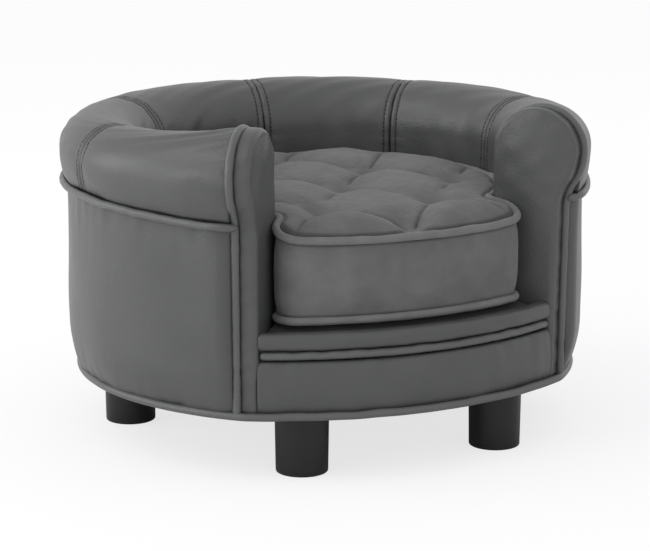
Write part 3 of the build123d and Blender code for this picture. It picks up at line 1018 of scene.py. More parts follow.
    def stitches(self, seam: float) -> Shape:
        """Two rows of topstitches beside a seam, each stitch a slim ellipsoid sunk in the leather.

        Args:
            seam: The seam's turn in degrees.

        Returns:
            The closed surfaces of all the stitches.
        """
        rows = np.meshgrid(np.arange(*self.stitch_stretch, self.stitch_pitch), (-1.0, 1.0))
        along, way = (values.ravel() for values in rows)
        slant = self.stitch_slant * np.sin(np.arange(len(along)) * self.stitch_slant_step)
        radius = self.section(along, 0.0, 0.0)[0]
        turn = math.radians(seam) + way * (self.stitch_row + slant) / radius
        heading = self.at(turn, along + MM) - self.at(turn, along - MM)
        heading /= np.linalg.norm(heading, axis=1, keepdims=True)
        across = RING.place(1.0, turn + np.pi / 2, 0.0) - RING.place(0.0, turn, 0.0)
        polar = np.linspace(0, np.pi, self.stitch_facets)[:, None, None]
        angle = np.linspace(0, 2 * np.pi, self.stitch_facets, endpoint=False)[:, None]
        length, width, depth = self.stitch_size
        place, heading, across, upward = (
            values[:, None, None]
            for values in (self.at(turn, along, self.stitch_lift), heading, across, np.cross(heading, across))
        )
        grid = place + length * np.cos(polar) * heading + width * np.sin(polar) * np.cos(angle) * across
        grid = grid + depth * np.sin(polar) * np.sin(angle) * upward
        quads = Shape.from_grid(grid[0], place[0], closed=True).quads
        quads = quads + np.arange(len(grid))[:, None, None] * self.stitch_facets**2
        return Shape(grid.reshape(-1, 3), quads.reshape(-1, 4))

    def piping(self) -> Shape:
        """The piping under the roll, which bends in and down to each arm.

        Returns:
            The closed surface.
        """
        radius, height = self.cord_place
        limit = float(RING.turn_behind(radius, self.end_depth - self.cord_reach))
        turn = np.linspace(limit, RING.full - limit, self.cord_count)
        near = (np.minimum(turn, RING.full - turn) - limit) * radius
        drop = rounded_drop(1 - np.clip(near / self.cord_bend[1], 0, 1), self.cord_keep) * self.cord_bend[0]
        wave = self.cord_wave.at(turn * radius)
        path = RING.place(radius - drop, turn, height + wave - self.sag(turn))
        return tube(path, self.cord.girth(turn * radius))

    def build(self, wardrobe: Wardrobe) -> None:
        """Makes the panels, the topstitching and the piping.

        Args:
            wardrobe: The finishes.
        """
        edges = [None, *self.seams, None]
        for name, start, end in zip(self.panel_names, edges, edges[1:]):
            nodes = [f"roll_cover_{name}"] + ["roll_foam"] * (start is None)
            shape = self.panel(start, end)
            wardrobe.add(f"roll_leather_{name}", shape, Slot.LEATHER, nodes, fill=0.9, skin=1.0 * MM)
        for number, seam in enumerate(self.seams, 1):
            name = f"roll_topstitching_{number}"
            wardrobe.add(name, self.stitches(seam), Slot.PIPING, finish=wardrobe.thread, merge=MERGE)
        wardrobe.add("roll_piping", self.piping(), Slot.PIPING, ["roll_welt"], merge=MERGE)


# Outer wall


@dataclass
class OuterWall:
    """The padded leather of the outer wall, rounded in at the arms and tucked in above the base."""

    roll: RollTop
    top: float = 0.2262
    low: float = 0.0590
    knee: float = 0.100
    tuck_bend: float = 0.105
    end_depth: float = 0.0205
    end_run: float = 0.013
    end_drop: Pair = (0.003, 0.0085)
    end_drop_heights: Pair = (0.062, 0.110)
    sag_start: float = 0.10
    rows: tuple[int, int] = (62, 20)
    columns: int = 330
    end_columns: int = 14
    bulge: float = 0.0008
    dents: Ripples = Ripples(31, 0.22, 0.06, 0.0007)
    gathers: Ripples = Ripples(32, 0.05, 0.012, 1.0, 9)
    gather_share: float = 0.25
    upper: Fade = Fade(0.0007, 0.018)
    lower: Fade = Fade(0.0006, 0.012)
    # Painted shade along the upper and lower edges and where the wall rounds in at the arms.
    edge_shade: Fade = Fade(1.0, 0.0022)
    end_shade: float = 0.8
    painted_shade: float = 0.7

    def padding(self, turn: Array, height: Array) -> Array:
        """A low bulge at half height, soft dents, and gathers at the upper and lower edges.

        Args:
            turn: Turns.
            height: Heights.

        Returns:
            Distances outwards.
        """
        run = turn * RING.wall
        share = (height - self.low) / (self.top - self.low)
        gathers = self.gathers.at(run, height * self.gather_share)
        edges = self.upper.at(self.top - height) + self.lower.at(height - self.low)
        return self.bulge * np.sin(np.pi * share) + self.dents.at(run, height) + gathers * edges

    def surface(self) -> Shape:
        """The wall's leather by turn and height.

        The radius is the wall's, less R - sqrt(R^2 - d^2) a distance d below the knee. At an arm it
        falls along a quarter of an ellipse: the run goes with 1 - cos(a) and the drop with 1 - sin(a).

        Returns:
            The open surface.
        """
        upper = np.linspace(self.top, self.knee, self.rows[0])
        height = np.concatenate([upper, np.linspace(self.knee, self.low, self.rows[1])[1:]])[:, None]
        below = np.clip(self.knee - height, 0, None)
        radius = RING.wall - (self.tuck_bend - np.sqrt(self.tuck_bend**2 - below**2))
        angle = np.linspace(0, np.pi / 2, self.end_columns)[:-1]
        fall = 1 - np.sin(angle)
        drop = between(self.end_drop, smooth_step(height, *self.end_drop_heights))
        first = RING.turn_behind(radius, self.end_depth)
        right = first + (self.end_run * (1 - np.cos(angle)))[None, :] / RING.wall
        inner = first + self.end_run / RING.wall
        middle = inner + (RING.full - 2 * inner) * np.linspace(0, 1, self.columns)[None, :]
        turn = np.concatenate([right, middle, (RING.full - right)[:, ::-1]], axis=1)
        share = np.concatenate([fall, np.zeros(self.columns), fall[::-1]])[None, :]
        off = self.padding(turn, height) * (1 - share)
        sag = self.roll.sag(turn) * smooth_step(height, self.sag_start, self.top)
        grid = RING.place(radius - drop * share + off, turn, height - sag)
        # Painted shade at the top and bottom edges by the pipings, and where the wall rounds in at the arms.
        edges = self.edge_shade.at(self.top - height) + self.edge_shade.at(height - self.low)
        crease = self.painted_shade * np.clip(edges + self.end_shade * share**2, 0, 1)
        return Shape.from_grid(grid, RING.place(RING.wall_core, turn, height), crease=crease)

    def build(self, wardrobe: Wardrobe) -> None:
        """Makes the wall's leather, which stands for its foam too."""
        nodes = ["outer_wall_cover", "outer_wall_foam"]
        wardrobe.add("wall_leather", self.surface(), Slot.LEATHER, nodes, fill=0.85, skin=1.1 * MM)


# Arm ends


@dataclass
class ArmEnd:
    """One upright arm end: a padded arched panel, its side strip and the piping round it."""

    side: Side
    outer: float = 0.240
    neck: float = 0.224
    foot: float = 0.222
    spring: float = 0.262
    neck_height: float = 0.210
    low: float = 0.0588
    arch_drop: float = 0.0003
    rows: tuple[int, int] = (60, 26)
    arch_count: int = 49
    strip_rows: tuple[int, int] = (5, 6)
    rim_rows: int = 9
    face_rows: int = 19
    face_power: float = 0.8
    tuck_depth: float = 0.0178
    tuck: Pair = (0.0010, 0.0070)
    tuck_stretch: Pair = (0.1, 1.0)
    tuck_shares: tuple[float, ...] = (1.0, 0.72, 0.40, 0.12, 0.0, 0.0, 0.0, 0.0, 0.0, 0.0)
    depth: float = 0.0140
    edge_round: float = 0.0052
    puff: float = 0.0034
    puff_power: float = 2.4
    puff_heights: Pair = (0.205, 0.240)
    dents: Ripples = Ripples(41, 0.09, 0.02, 0.0005)
    dent_heights: Pair = (0.200, 0.225)
    puckers: Ripples = Ripples(45, 0.05, 0.012, 0.0004)
    pucker_share: float = 0.3
    nest_side: float = 0.03
    core_depth: float = 0.03
    core_drop: float = 0.01
    # Painted shade where the leather lies far behind the face, at the back edge and its tuck behind the
    # piping.
    shade_depths: Pair = (0.0125, 0.0160)
    cord: Cord = Cord(0.0035, Ripples(51, 0.04, 0.009, 0.035))
    cord_depth: float = 0.0177
    cord_inner: float = 0.0036
    cord_outer: float = 0.002
    cord_step: float = 1.6 * MM

    def outer_line(self, height: Array, proud: float = 0.0) -> Array:
        """How far out the outer side is below the arch: an S of two equal arcs, then a line.

        Args:
            height: Heights.
            proud: How much further out the whole line is.

        Returns:
            Radii from the axis.
        """
        run = (self.outer - self.neck) / 2
        rise = (self.spring - self.neck_height) / 2
        bend = bend_radius(run, rise)
        upper, lower = (
            bend - np.sqrt(np.clip(bend**2 - (height - level) ** 2, 0, None))
            for level in (self.spring, self.neck_height)
        )
        share = (height - self.low) / (self.neck_height - self.low)
        line = between((self.foot, self.neck), share)
        where = [height >= self.spring - rise, height >= self.neck_height]
        return np.select(where, [self.outer - upper, self.neck + lower], line) + proud

    def outline(self, inner: float, proud: float) -> tuple[Array, Array]:
        """The outline up the nest side, over the arch and down, with the spine opposite each place.

        Args:
            inner: How far the nest side lies outside the nest.
            proud: How far the outer side lies outside the plain line.

        Returns:
            Outline and spine as (radius, height) pairs.
        """
        below = np.linspace(self.low, self.neck_height, self.rows[0])
        above = np.linspace(self.neck_height, self.spring, self.rows[1])[1:]
        height = np.concatenate([below, above])
        near = np.full_like(height, RING.nest + inner)
        far = self.outer_line(height, proud)
        centre = (near[-1] + far[-1]) / 2
        reach = (far[-1] - near[-1]) / 2
        angle = np.linspace(np.pi, 0, self.arch_count)[1:-1]
        tall = (reach - self.arch_drop) * np.sin(angle)
        arch = np.stack([centre + reach * np.cos(angle), self.spring + tall], axis=1)
        spine = np.stack([(near + far) / 2, height], axis=1)
        top = np.broadcast_to([centre, self.spring], arch.shape)
        sides = [np.stack([line, height], axis=1) for line in (near, far)]
        return np.concatenate([sides[0], arch, sides[1][::-1]]), np.concatenate([spine, top, spine[::-1]])

    def placed(self, across: Array, height: Array, forward: Array | float) -> Array:
        """Places from radii along the face, heights and distances in front of the face."""
        out, front = RING.directions(self.side)
        return [0.0, RING.axis_y, 0.0] + stacked(across, forward, height) @ np.array([out, front, UP])

    def cover(self) -> Shape:
        """The leather: back edge, strip, rounded edge and face, as rows over the outline's columns.

        The face runs from the rounded edge to the spine; its height is the puff times
        1 - (1 - w)^p for the share w of the way, and the puff is nothing where the cushion lies.

        Returns:
            The open surface.
        """
        line, spine = self.outline(0.0, 0.0)
        inward = spine - line
        reach = np.linalg.norm(inward, axis=1)
        inward = inward / reach[:, None]
        level = np.zeros(len(line))
        tucked, strip = self.strip_rows
        back = np.linspace(self.tuck_depth, self.depth, tucked)[:-1]
        back = np.concatenate([back, np.linspace(self.depth, self.edge_round, strip)])
        nest_share = np.clip((self.outer - line[:, 0]) / (self.outer - RING.nest), 0, 1)
        tuck = between(self.tuck, smooth_step(nest_share, *self.tuck_stretch))
        turn = np.linspace(0, np.pi / 2, self.rim_rows)[1:]
        rim = self.edge_round * (1 - np.cos(turn))
        depth = np.concatenate([-back, -self.edge_round * (1 - np.sin(turn))])[:, None] + level
        share = np.linspace(0, 1, self.face_rows)[1:, None] ** self.face_power
        face = self.edge_round + (reach - self.edge_round) * share
        inset = np.concatenate([np.array(self.tuck_shares)[:, None] * tuck, rim[:, None] + level, face])
        rise = self.puff * smooth_step(line[:, 1], *self.puff_heights) * (1 - (1 - share) ** self.puff_power)
        depth = np.concatenate([depth, rise])
        across = line[:, 0] + inward[:, 0] * inset
        height = line[:, 1] + inward[:, 1] * inset
        dents = self.dents.at(across, height, self.side.value) * smooth_step(height, *self.dent_heights)
        depth = depth + dents * (inset > self.edge_round / 2)
        puckers = self.puckers.at(height, depth * self.pucker_share, self.side.value)
        strip_place = (across - RING.nest > self.nest_side) & (inset < self.edge_round)
        grid = self.placed(across + puckers * strip_place, height, depth)
        core = self.placed(spine[:, 0], np.minimum(height, self.spring - self.core_drop), -self.core_depth)
        # Painted shade grows with how far back the leather lies.
        return Shape.from_grid(grid, core, crease=smooth_step(-depth, *self.shade_depths))

    def piping(self) -> Shape:
        """The piping round the arm, with a slightly uneven girth.

        Returns:
            The closed surface.
        """
        line = resampled(self.outline(self.cord_inner, self.cord_outer)[0], self.cord_step)
        girth = self.cord.girth(np.arange(len(line)) * self.cord_step, self.side.value)
        path = self.placed(line[:, 0], line[:, 1], -self.cord_depth)
        return tube(path, girth, RING.directions(self.side)[1])

    def build(self, wardrobe: Wardrobe) -> None:
        """Makes the arm's leather and piping.

        Args:
            wardrobe: The finishes.
        """
        end = self.side.name.lower()
        nodes = [f"arm_cover_{end}", f"arm_pad_{end}"]
        wardrobe.add(
            f"arm_leather_{end}", self.cover(), Slot.LEATHER, nodes, fill=0.9, skin=1.0 * MM, merge=MERGE
        )
        wardrobe.add(f"arm_piping_{end}", self.piping(), Slot.PIPING, [f"arm_welt_{end}"], merge=MERGE)


# Front plinth and base


@dataclass
class Plinth:
    """The front below the cushion: a padded rail, a piped band between two grooves and the fascia."""

    gap: float = -0.0008
    end_run: float = 0.0045
    end_drop: float = 0.0020
    lining_inset: float = 0.0071
    lining: tuple[float, float, int] = (0.1025, 0.1150, 7)
    # Painted shade on the strip that shows in the grooves.
    lining_shade: float = 0.6
    rail_low: float = 0.1132
    rail_high: float = 0.1286
    rail_depth: float = 0.0145
    rail_power: float = 0.72
    rail_flat_share: float = 0.6
    rail_dents: Ripples = Ripples(61, 0.08, 0.02, 0.00035)
    rail_sides: int = 56
    rail_long: float = 0.01
    band_height: float = 0.109
    band_inset: float = 0.0039
    band_end: Pair = (0.0002, 0.0036)
    band_wave: Ripples = Ripples(63, 0.07, 0.015)
    band_waves: Pair = (0.0002, 0.00025)
    band: Cord = Cord(0.0036, Ripples(63, 0.07, 0.015, 0.03))
    band_count: int = 190
    fascia_low: float = 0.0590
    fascia_top: float = 0.1046
    fascia_edge: float = 0.0048
    fascia_rows: tuple[int, int] = (10, 34)
    fascia_bulge: float = 0.0022
    fascia_dents: Ripples = Ripples(64, 0.12, 0.03, 0.0005)
    fascia_gathers: Ripples = Ripples(65, 0.06, 0.014, 1.0, 9)
    fascia_gather_share: float = 0.3
    fascia_upper: Fade = Fade(0.0009, 0.012)
    fascia_end: Fade = Fade(0.0007, 0.020)
    fascia_core_drop: float = 0.004
    # Painted shade on the fascia at its lower edge and in the upper groove.
    low_shade: Fade = Fade(1.0, 0.0025)
    top_shade: Fade = Fade(1.0, 0.0010)
    painted_shade: float = 0.6
    columns: int = 150
    crowding: float = 0.45 * np.pi

    def spread(self, radius: Array) -> Array:
        """Angles across the front for each radius, closer together near the arms' faces."""
        share = np.sin(np.linspace(-1, 1, self.columns) * self.crowding)[None, :]
        return RING.arc_angle(radius, self.gap) * share / math.sin(self.crowding)

    def end_gap(self, radius: Array, turn: Array) -> Array:
        """Distance to the nearer arm."""
        return (RING.arc_angle(radius, self.gap) - np.abs(turn)) * radius

    def rounded_end(self, radius: Array, turn: Array) -> Array:
        """How far the leather falls back within a short run of an arm: a quarter of an ellipse."""
        return self.end_drop * rounded_drop(1 - np.clip(self.end_gap(radius, turn) / self.end_run, 0, 1))

    def groove_lining(self) -> Shape:
        """The leather strip behind the band, which shows in both grooves.

        Returns:
            The open surface.
        """
        height = np.linspace(*self.lining)[:, None]
        radius = np.full_like(height, RING.front_arc - self.lining_inset)
        turn = self.spread(radius)
        core = RING.front_place(RING.front_core - self.lining_inset, turn, height)
        return Shape.from_grid(RING.front_place(radius, turn, height), core, crease=self.lining_shade)

    def rail(self) -> Shape:
        """The rail: a rounded rectangle carried along the front arc, softly dented.

        The section's place at angle a is the half size times a power of cos a or sin a, with its
        sign, sampled all the way round.

        Returns:
            The closed surface.
        """
        angle = np.linspace(0, 2 * np.pi, self.rail_sides, endpoint=False)[:, None]
        wide, tall = (
            np.sign(wave) * np.abs(wave) ** self.rail_power for wave in (np.cos(angle), np.sin(angle))
        )
        middle = RING.front_arc - self.rail_depth / 2
        level = (self.rail_low + self.rail_high) / 2
        radius = middle + wide * self.rail_depth / 2
        height = level + tall * (self.rail_high - self.rail_low) / 2
        turn = self.spread(radius)
        dents = self.rail_dents.at(turn * RING.front_arc, angle * self.rail_long)
        off = dents - self.rounded_end(radius, turn)
        grid = RING.front_place(
            radius + off * np.cos(angle), turn, height + off * np.sin(angle) * self.rail_flat_share
        )
        core = RING.front_place(middle, turn, level)
        grid, core = (np.swapaxes(places, 0, 1) for places in (grid, core))
        grid, core = (np.concatenate([core[:1], places, core[-1:]]) for places in (grid, core))
        return Shape.from_grid(grid, core, closed=True)

    def piped_band(self) -> Shape:
        """The thin piped band between the grooves.

        Returns:
            The closed surface.
        """
        radius = RING.front_arc - self.band_inset
        limit = float(RING.arc_angle(radius, self.band_end[0])) - self.band_end[1] / radius
        angle = np.linspace(-limit, limit, self.band_count)
        out, up = (share * self.band_wave.at(angle * radius) for share in self.band_waves)
        path = RING.front_place(radius + out, angle, self.band_height + up)
        return tube(path, self.band.girth(angle * radius))

    def fascia(self) -> Shape:
        """The fascia: its upper edge turns back along a quarter ellipse, its ends do too.

        Gathers run down from the upper groove and fade within a few centimetres.

        Returns:
            The open surface.
        """
        over = np.linspace(np.pi / 2, 0, self.fascia_rows[0])
        face = np.linspace(self.fascia_top - self.fascia_edge, self.fascia_low, self.fascia_rows[1])[1:]
        top = self.fascia_top - self.fascia_edge * (1 - np.sin(over))
        height = np.concatenate([top, face])[:, None]
        inset = np.concatenate([self.fascia_edge * (1 - np.cos(over)), np.zeros(len(face))])[:, None]
        share = np.clip((height - self.fascia_low) / (self.fascia_top - self.fascia_low), 0, 1)
        radius = RING.front_arc - inset
        turn = self.spread(radius)
        run = turn * RING.front_arc
        bulge = self.fascia_bulge * np.sin(np.pi * share) - self.rounded_end(radius, turn)
        ends = self.fascia_end.at(self.end_gap(radius, turn))
        gathers = self.fascia_gathers.at(run, height * self.fascia_gather_share)
        gathers = gathers * (self.fascia_upper.at(self.fascia_top - height) + ends)
        grid = RING.front_place(radius + bulge + self.fascia_dents.at(run, height) + gathers, turn, height)
        core = RING.front_place(RING.front_core, turn, height - self.fascia_core_drop)
        # Painted shade at the lower edge and in the upper groove.
        painted_shade = self.low_shade.at(height - self.fascia_low) + self.top_shade.at(self.fascia_top - height)
        return Shape.from_grid(grid, core, crease=self.painted_shade * np.clip(painted_shade, 0, 1))

    def build(self, wardrobe: Wardrobe) -> None:
        """Makes the rail, the band, the fascia and the strip behind the band.

        Args:
            wardrobe: The finishes.
        """
        nodes = ["front_rail_cover", "front_rail_foam"]
        wardrobe.add("rail_leather", self.rail(), Slot.LEATHER, nodes, fill=0.9, merge=MERGE)
        wardrobe.add("band_piping", self.piped_band(), Slot.PIPING, ["front_band_welt"], merge=MERGE)
        nodes = ["fascia_cover", "fascia_foam"]
        wardrobe.add("fascia_leather", self.fascia(), Slot.LEATHER, nodes, fill=0.85, skin=1.0 * MM)
        wardrobe.add("groove_leather", self.groove_lining(), Slot.LEATHER, skin=0.2 * MM)


@dataclass
class BaseEdge:
    """What shows round and under the base: piping, the leather's hem and the sheet below."""

    plan: BasePlan = BasePlan()
    cord_plan: Pair = (0.226, -0.003)
    cord: Cord = Cord(0.0035, Ripples(71, 0.09, 0.02, 0.025))
    cord_wave: Ripples = Ripples(71, 0.09, 0.02, 0.0002)
    cord_height: float = 0.0575
    cord_step: float = 2.0 * MM
    cord_sides: int = 16
    hem_outer: Pair = (0.2235, -0.0005)
    hem_inner: Pair = (0.2065, 0.018)
    hem_height: float = 0.0543
    hem_rows: int = 9
    hem_gathers: Ripples = Ripples(75, 0.03, 0.009, 0.00018)
    sheet_plan: Pair = (0.210, 0.0137)
    sheet_height: float = 0.0532
    sheet_rows: int = 46
    sheet_thinning: int = 3
    sheet_waves: Ripples = Ripples(73, 0.11, 0.03, 0.0004)
    sheet_edge: Pair = (0.004, 0.03)
    above: float = 0.01

    def piping(self) -> Shape:
        """The piping all round the base.

        Returns:
            The closed surface.
        """
        line = resampled(looped(self.plan.outline(*self.cord_plan)), self.cord_step)[:-1]
        run = np.arange(len(line)) * self.cord_step
        path = RING.planned(line, self.cord_height + self.cord_wave.at(run))
        return tube(path, self.cord.girth(run), sides=self.cord_sides, closed=True)

    def sheet(self) -> Shape:
        """The sheet under the base, drawn in evenly to its middle, slack between its staples.

        Returns:
            The open surface.
        """
        edge = self.plan.outline(*self.sheet_plan)[None, :: self.sheet_thinning]
        plan = edge * np.linspace(1, 0, self.sheet_rows)[:, None, None]
        slack = smooth_step(self.sheet_plan[0] - np.linalg.norm(plan, axis=-1), *self.sheet_edge)
        height = self.sheet_height + self.sheet_waves.at(plan[..., 0], plan[..., 1]) * slack
        grid = RING.planned(plan, height)
        return Shape.from_grid(grid, grid + self.above * UP, closed=True)

    def hem(self) -> Shape:
        """The leather's hem, folded under the base and gathered.

        Returns:
            The open surface.
        """
        share = np.linspace(0, 1, self.hem_rows)[:, None, None]
        plan = between([self.plan.outline(*place) for place in (self.hem_outer, self.hem_inner)], share)
        run = np.arctan2(plan[..., 0], plan[..., 1]) * self.cord_plan[0]
        grid = RING.planned(plan, self.hem_height + self.hem_gathers.at(run) * share[..., 0])
        return Shape.from_grid(grid, grid + self.above * UP, closed=True)

    def build(self, wardrobe: Wardrobe) -> None:
        """Makes the piping, the hem and the sheet.

        Args:
            wardrobe: The finishes.
        """
        wardrobe.add("base_piping", self.piping(), Slot.PIPING, ["base_welt"], merge=MERGE)
        wardrobe.add("leather_hem", self.hem(), Slot.LEATHER, skin=0.4 * MM)
        wardrobe.add(
            "under_sheet", self.sheet(), Slot.NON_WOVEN, ["dust_cover"], skin=0.4 * MM, merge=MERGE
        )


@dataclass
class Deck:
    """The cloth under the cushion."""

    plan: NestPlan = NestPlan(gap=0.0003, lead=0.0148, tip=0.010, notch=0.0043)
    middle: Pair = (0.0, -0.05)
    height: float = 0.1303
    dents: Ripples = Ripples(81, 0.1, 0.03)
    dent: float = 0.0003
    edge_round: float = 0.0030
    edge_share: float = 0.975
    edge_keep: float = 0.999
    inner_share: float = 0.96
    side: float = 0.0130
    fall: float = 0.0045
    fall_shares: Pair = (0.86, 0.99)
    side_rows: int = 6
    inner_rows: int = 50
    below: float = 0.01

    def cloth(self) -> Shape:
        """The cloth on the deck's foam, with soft dents and a rounded edge above its sides.

        Returns:
            The open surface.
        """
        rows = self.side_rows
        edge = np.linspace(1, self.edge_share, rows)[1:]
        share = np.concatenate([np.ones(rows), edge, np.linspace(self.inner_share, 0, self.inner_rows)])
        plan = np.array(self.middle) + (self.plan.outline(0.0) - self.middle) * share[:, None, None]
        share = share[:, None]
        dents = self.dent * np.clip(self.dents.at(plan[..., 0], plan[..., 1]), -1, 1)
        round_ = self.edge_round * rounded_drop(smooth_step(share, self.edge_share, 1.0), self.edge_keep)
        side = np.pad(np.linspace(self.side, 0, rows), (0, len(share) - rows))[:, None]
        fall = self.fall * smooth_step(share, *self.fall_shares)
        grid = RING.planned(plan, self.height + dents - round_ - fall - side)
        return Shape.from_grid(grid, grid - self.below * UP, closed=True)

    def build(self, wardrobe: Wardrobe) -> None:
        """Makes the cloth."""
        options = {"fill": 0.9, "skin": 0.5 * MM, "merge": MERGE}
        wardrobe.add("deck_leather", self.cloth(), Slot.LEATHER, ["deck_cover", "deck_foam"], **options)


# Cushion


@dataclass
class Cushion:
    """The loose plush cushion: crowned and tufted top, drawn-in sides, and piping at both seams."""

    plan: NestPlan = NestPlan()
    bottom: float = 0.1312
    low_seam: float = 0.1350
    top_seam: float = 0.2036
    seam_rise: float = 0.0140
    seam_stretch: Pair = (-0.178, -0.118)
    seam_inset: float = 0.0052
    side_bulge: float = 0.0030
    side_power: int = 4
    summit: Pair = (0.2226, 0.2283)
    summit_stretch: Pair = (-0.14, 0.06)
    crown: Fade = Fade(1.0, 0.0080, 0.8)
    rim: float = 0.016
    rim_shares: Pair = (0.25, 0.75)
    lumps: Ripples = Ripples(91, 0.13, 0.04, 0.0012)
    middle: Pair = (0.0, -0.070)
    core: Triple = (0.0, -0.06, 0.165)
    rows: tuple[int, int, int] = (30, 26, 90)
    chunk: int = 2000
    tuft_column: float = 0.057
    tuft_row: float = 0.069
    tuft_front: float = 0.038
    tuft_rows: tuple[tuple[int, ...], ...] = ((0,), (-1, 1), (-2, 0, 2), (-1, 1), (0,))
    tuft: Fade = Fade(0.0085, 0.013, 1.5)
    front_sink: Fade = Fade(0.0050, 0.020, 2)
    pleat_depth: float = 0.0065
    pleat_reach: float = 0.27
    pleat_stretch: Pair = (0.040, 0.088)
    crease: Fade = Fade(0.0030, 0.0026)
    pinch: Fade = Fade(0.0035, 0.0045, 2)
    gather_depth: float = 0.0014
    gather_start: Fade = Fade(1.0, 0.005)
    gather_reach: Fade = Fade(1.0, 0.014)
    gather_count: int = 9
    gather_phase: float = 2.4
    gather_sway: Ripples = Ripples(97, 0.03, 0.012, 0.3)
    nap: Ripples = Ripples(98, 0.034, 0.009, 0.0001, 12)
    top_stretch: Pair = (0.0015, 0.005)
    # Painted shade in the pleats' creases, at the tufts and beside both pipings.
    crease_shade: Fade = Fade(0.72, 0.0015)
    tuft_shade: Fade = Fade(1.0, 0.004, 2)
    rim_shade: float = 0.5
    rim_shade_heights: Pair = (0.0040, 0.0062)
    rim_shade_edge: Pair = (0.004, 0.007)
    voxel: float = 0.005
    pressure: float = 150.0
    cloth_mass: float = 0.02
    stiffness: Triple = (18.0, 8.0, 0.6)
    cloth_quality: int = 5
    divisions: int = 2
    frames: int = 18
    cap: float = 0.006
    held_seam: Pair = (0.006, 0.007)
    held_low: float = 0.003
    held_tuft: float = 0.008
    held_above: float = 0.18
    cord: Cord = Cord(0.0035, Ripples(95, 0.08, 0.02, 0.04))
    cord_wave: Ripples = Ripples(95, 0.08, 0.02, 0.0003)
    cord_step: float = 2.0 * MM

    def seam_height(self, plan: Array) -> Array:
        """Height of the upper seam: level along the front, higher from the ears back."""
        return self.top_seam + self.seam_rise * smooth_step(plan[..., 1], *self.seam_stretch)

    def edge_distance(self, plan: Array) -> Array:
        """Distance of each plan place from the upper seam, to the nearest of many edge places.

        Args:
            plan: Plan places.

        Returns:
            Distances.
        """
        edge = resampled(looped(self.plan.outline(self.seam_inset)), MM)
        flat = plan.reshape(-1, 2)
        found = [
            np.sqrt(((part[:, None] - edge[None]) ** 2).sum(axis=2).min(axis=1))
            for part in np.array_split(flat, max(1, len(flat) // self.chunk))
        ]
        return np.concatenate(found).reshape(plan.shape[:-1])

    def tufts(self) -> Array:
        """Plan places of the sewn tufts, row by row from the back."""
        places = [(column, row - 2) for row, columns in enumerate(self.tuft_rows) for column in columns]
        return np.array(places) * [self.tuft_column, -self.tuft_row] - [0.0, self.tuft_front]

    def tuft_gaps(self, plan: Array) -> Array:
        """Distances of plan places from each tuft, the tufts last."""
        away = plan[..., None, :] - self.tufts()
        return np.hypot(away[..., 0], away[..., 1])

    def lattice(self, plan: Array) -> tuple[Array, Array, Array, Array]:
        """How plan places lie among the tufts.

        The two lattice numbers are half the sum and half the difference of the place in columns and
        rows from the middle tuft, so every pleat lies where one of them is whole.

        Args:
            plan: Plan places.

        Returns:
            Distance of both lattice numbers from whole ones, distance to the nearest tuft, and
            how much of the pleats is left there.
        """
        column = plan[..., 0] / self.tuft_column
        row = (-plan[..., 1] - self.tuft_front) / self.tuft_row
        first, second = (np.abs(half - np.round(half)) for half in ((column + row) / 2, (column - row) / 2))
        nearest = self.tuft_gaps(plan).min(axis=-1)
        return first, second, nearest, 1 - smooth_step(nearest, *self.pleat_stretch)

    def top_height(self, plan: Array) -> Array:
        """Height of the top: a crown from the seam, pillows between pleats, and the tufts' hollows.

        The crown rises to the summit as one less a fade of the distance from the seam. A pillow's
        fullness is the product, for both lattice numbers, of 1 - (1 - c / reach)^2.

        Args:
            plan: Plan places.

        Returns:
            Heights.
        """
        edge = self.edge_distance(plan)
        seam = self.seam_height(plan)
        first, second, nearest, left = self.lattice(plan)
        full = [1 - (1 - np.clip(c / self.pleat_reach, 0, 1)) ** 2 for c in (first, second)]
        pleats = self.pleat_depth * (1 - full[0] * full[1]) * left
        hollow = self.tuft.at(nearest) + self.front_sink.at(self.tuft_gaps(plan)[..., -1])
        rim = smooth_step(edge, 0.0, self.rim)
        lumps = self.lumps.at(plan[..., 0], plan[..., 1]) * rim
        summit = between(self.summit, smooth_step(plan[..., 1], *self.summit_stretch))
        sunk = (pleats + hollow) * (self.rim_shares[0] + self.rim_shares[1] * rim)
        return seam + (summit - seam) * (1 - self.crown.at(edge)) - sunk + lumps

    def body_grid(self) -> Array:
        """The whole closed shape as rings: bottom middle, bottom edge, side, top edge, top middle.

        Returns:
            Places, by ring.
        """
        edge = self.plan.outline(self.seam_inset)
        under, side, over = self.rows
        out = np.linspace(0, 1, under)[:, None, None]
        under = RING.planned(np.array(self.middle) + (edge - self.middle) * out, self.bottom)
        rings = []
        for step in np.linspace(0, 1, side)[1:-1]:
            bulge = self.side_bulge * (1 - (2 * step - 1) ** self.side_power)
            plan = self.plan.outline(self.seam_inset - bulge)
            rings.append(RING.planned(plan, between((self.low_seam, self.seam_height(plan)), step)))
        plan = np.array(self.middle) + (edge - self.middle) * np.linspace(1, 0, over)[:, None, None]
        return np.concatenate([under, np.array(rings), RING.planned(plan, self.top_height(plan))])

    def changed(self, piece: Piece, kind: str, **values: object) -> None:
        """Runs a modifier on the body for good.

        Args:
            piece: The cushion's body.
            kind: The modifier's type.
            **values: Its properties.
        """
        with bpy.context.temp_override(object=piece, active_object=piece, selected_objects=[piece]):
            step = piece.modifiers.new(kind, kind)
            for key, value in values.items():
                setattr(step, key, value)
            bpy.ops.object.modifier_apply(modifier=step.name)

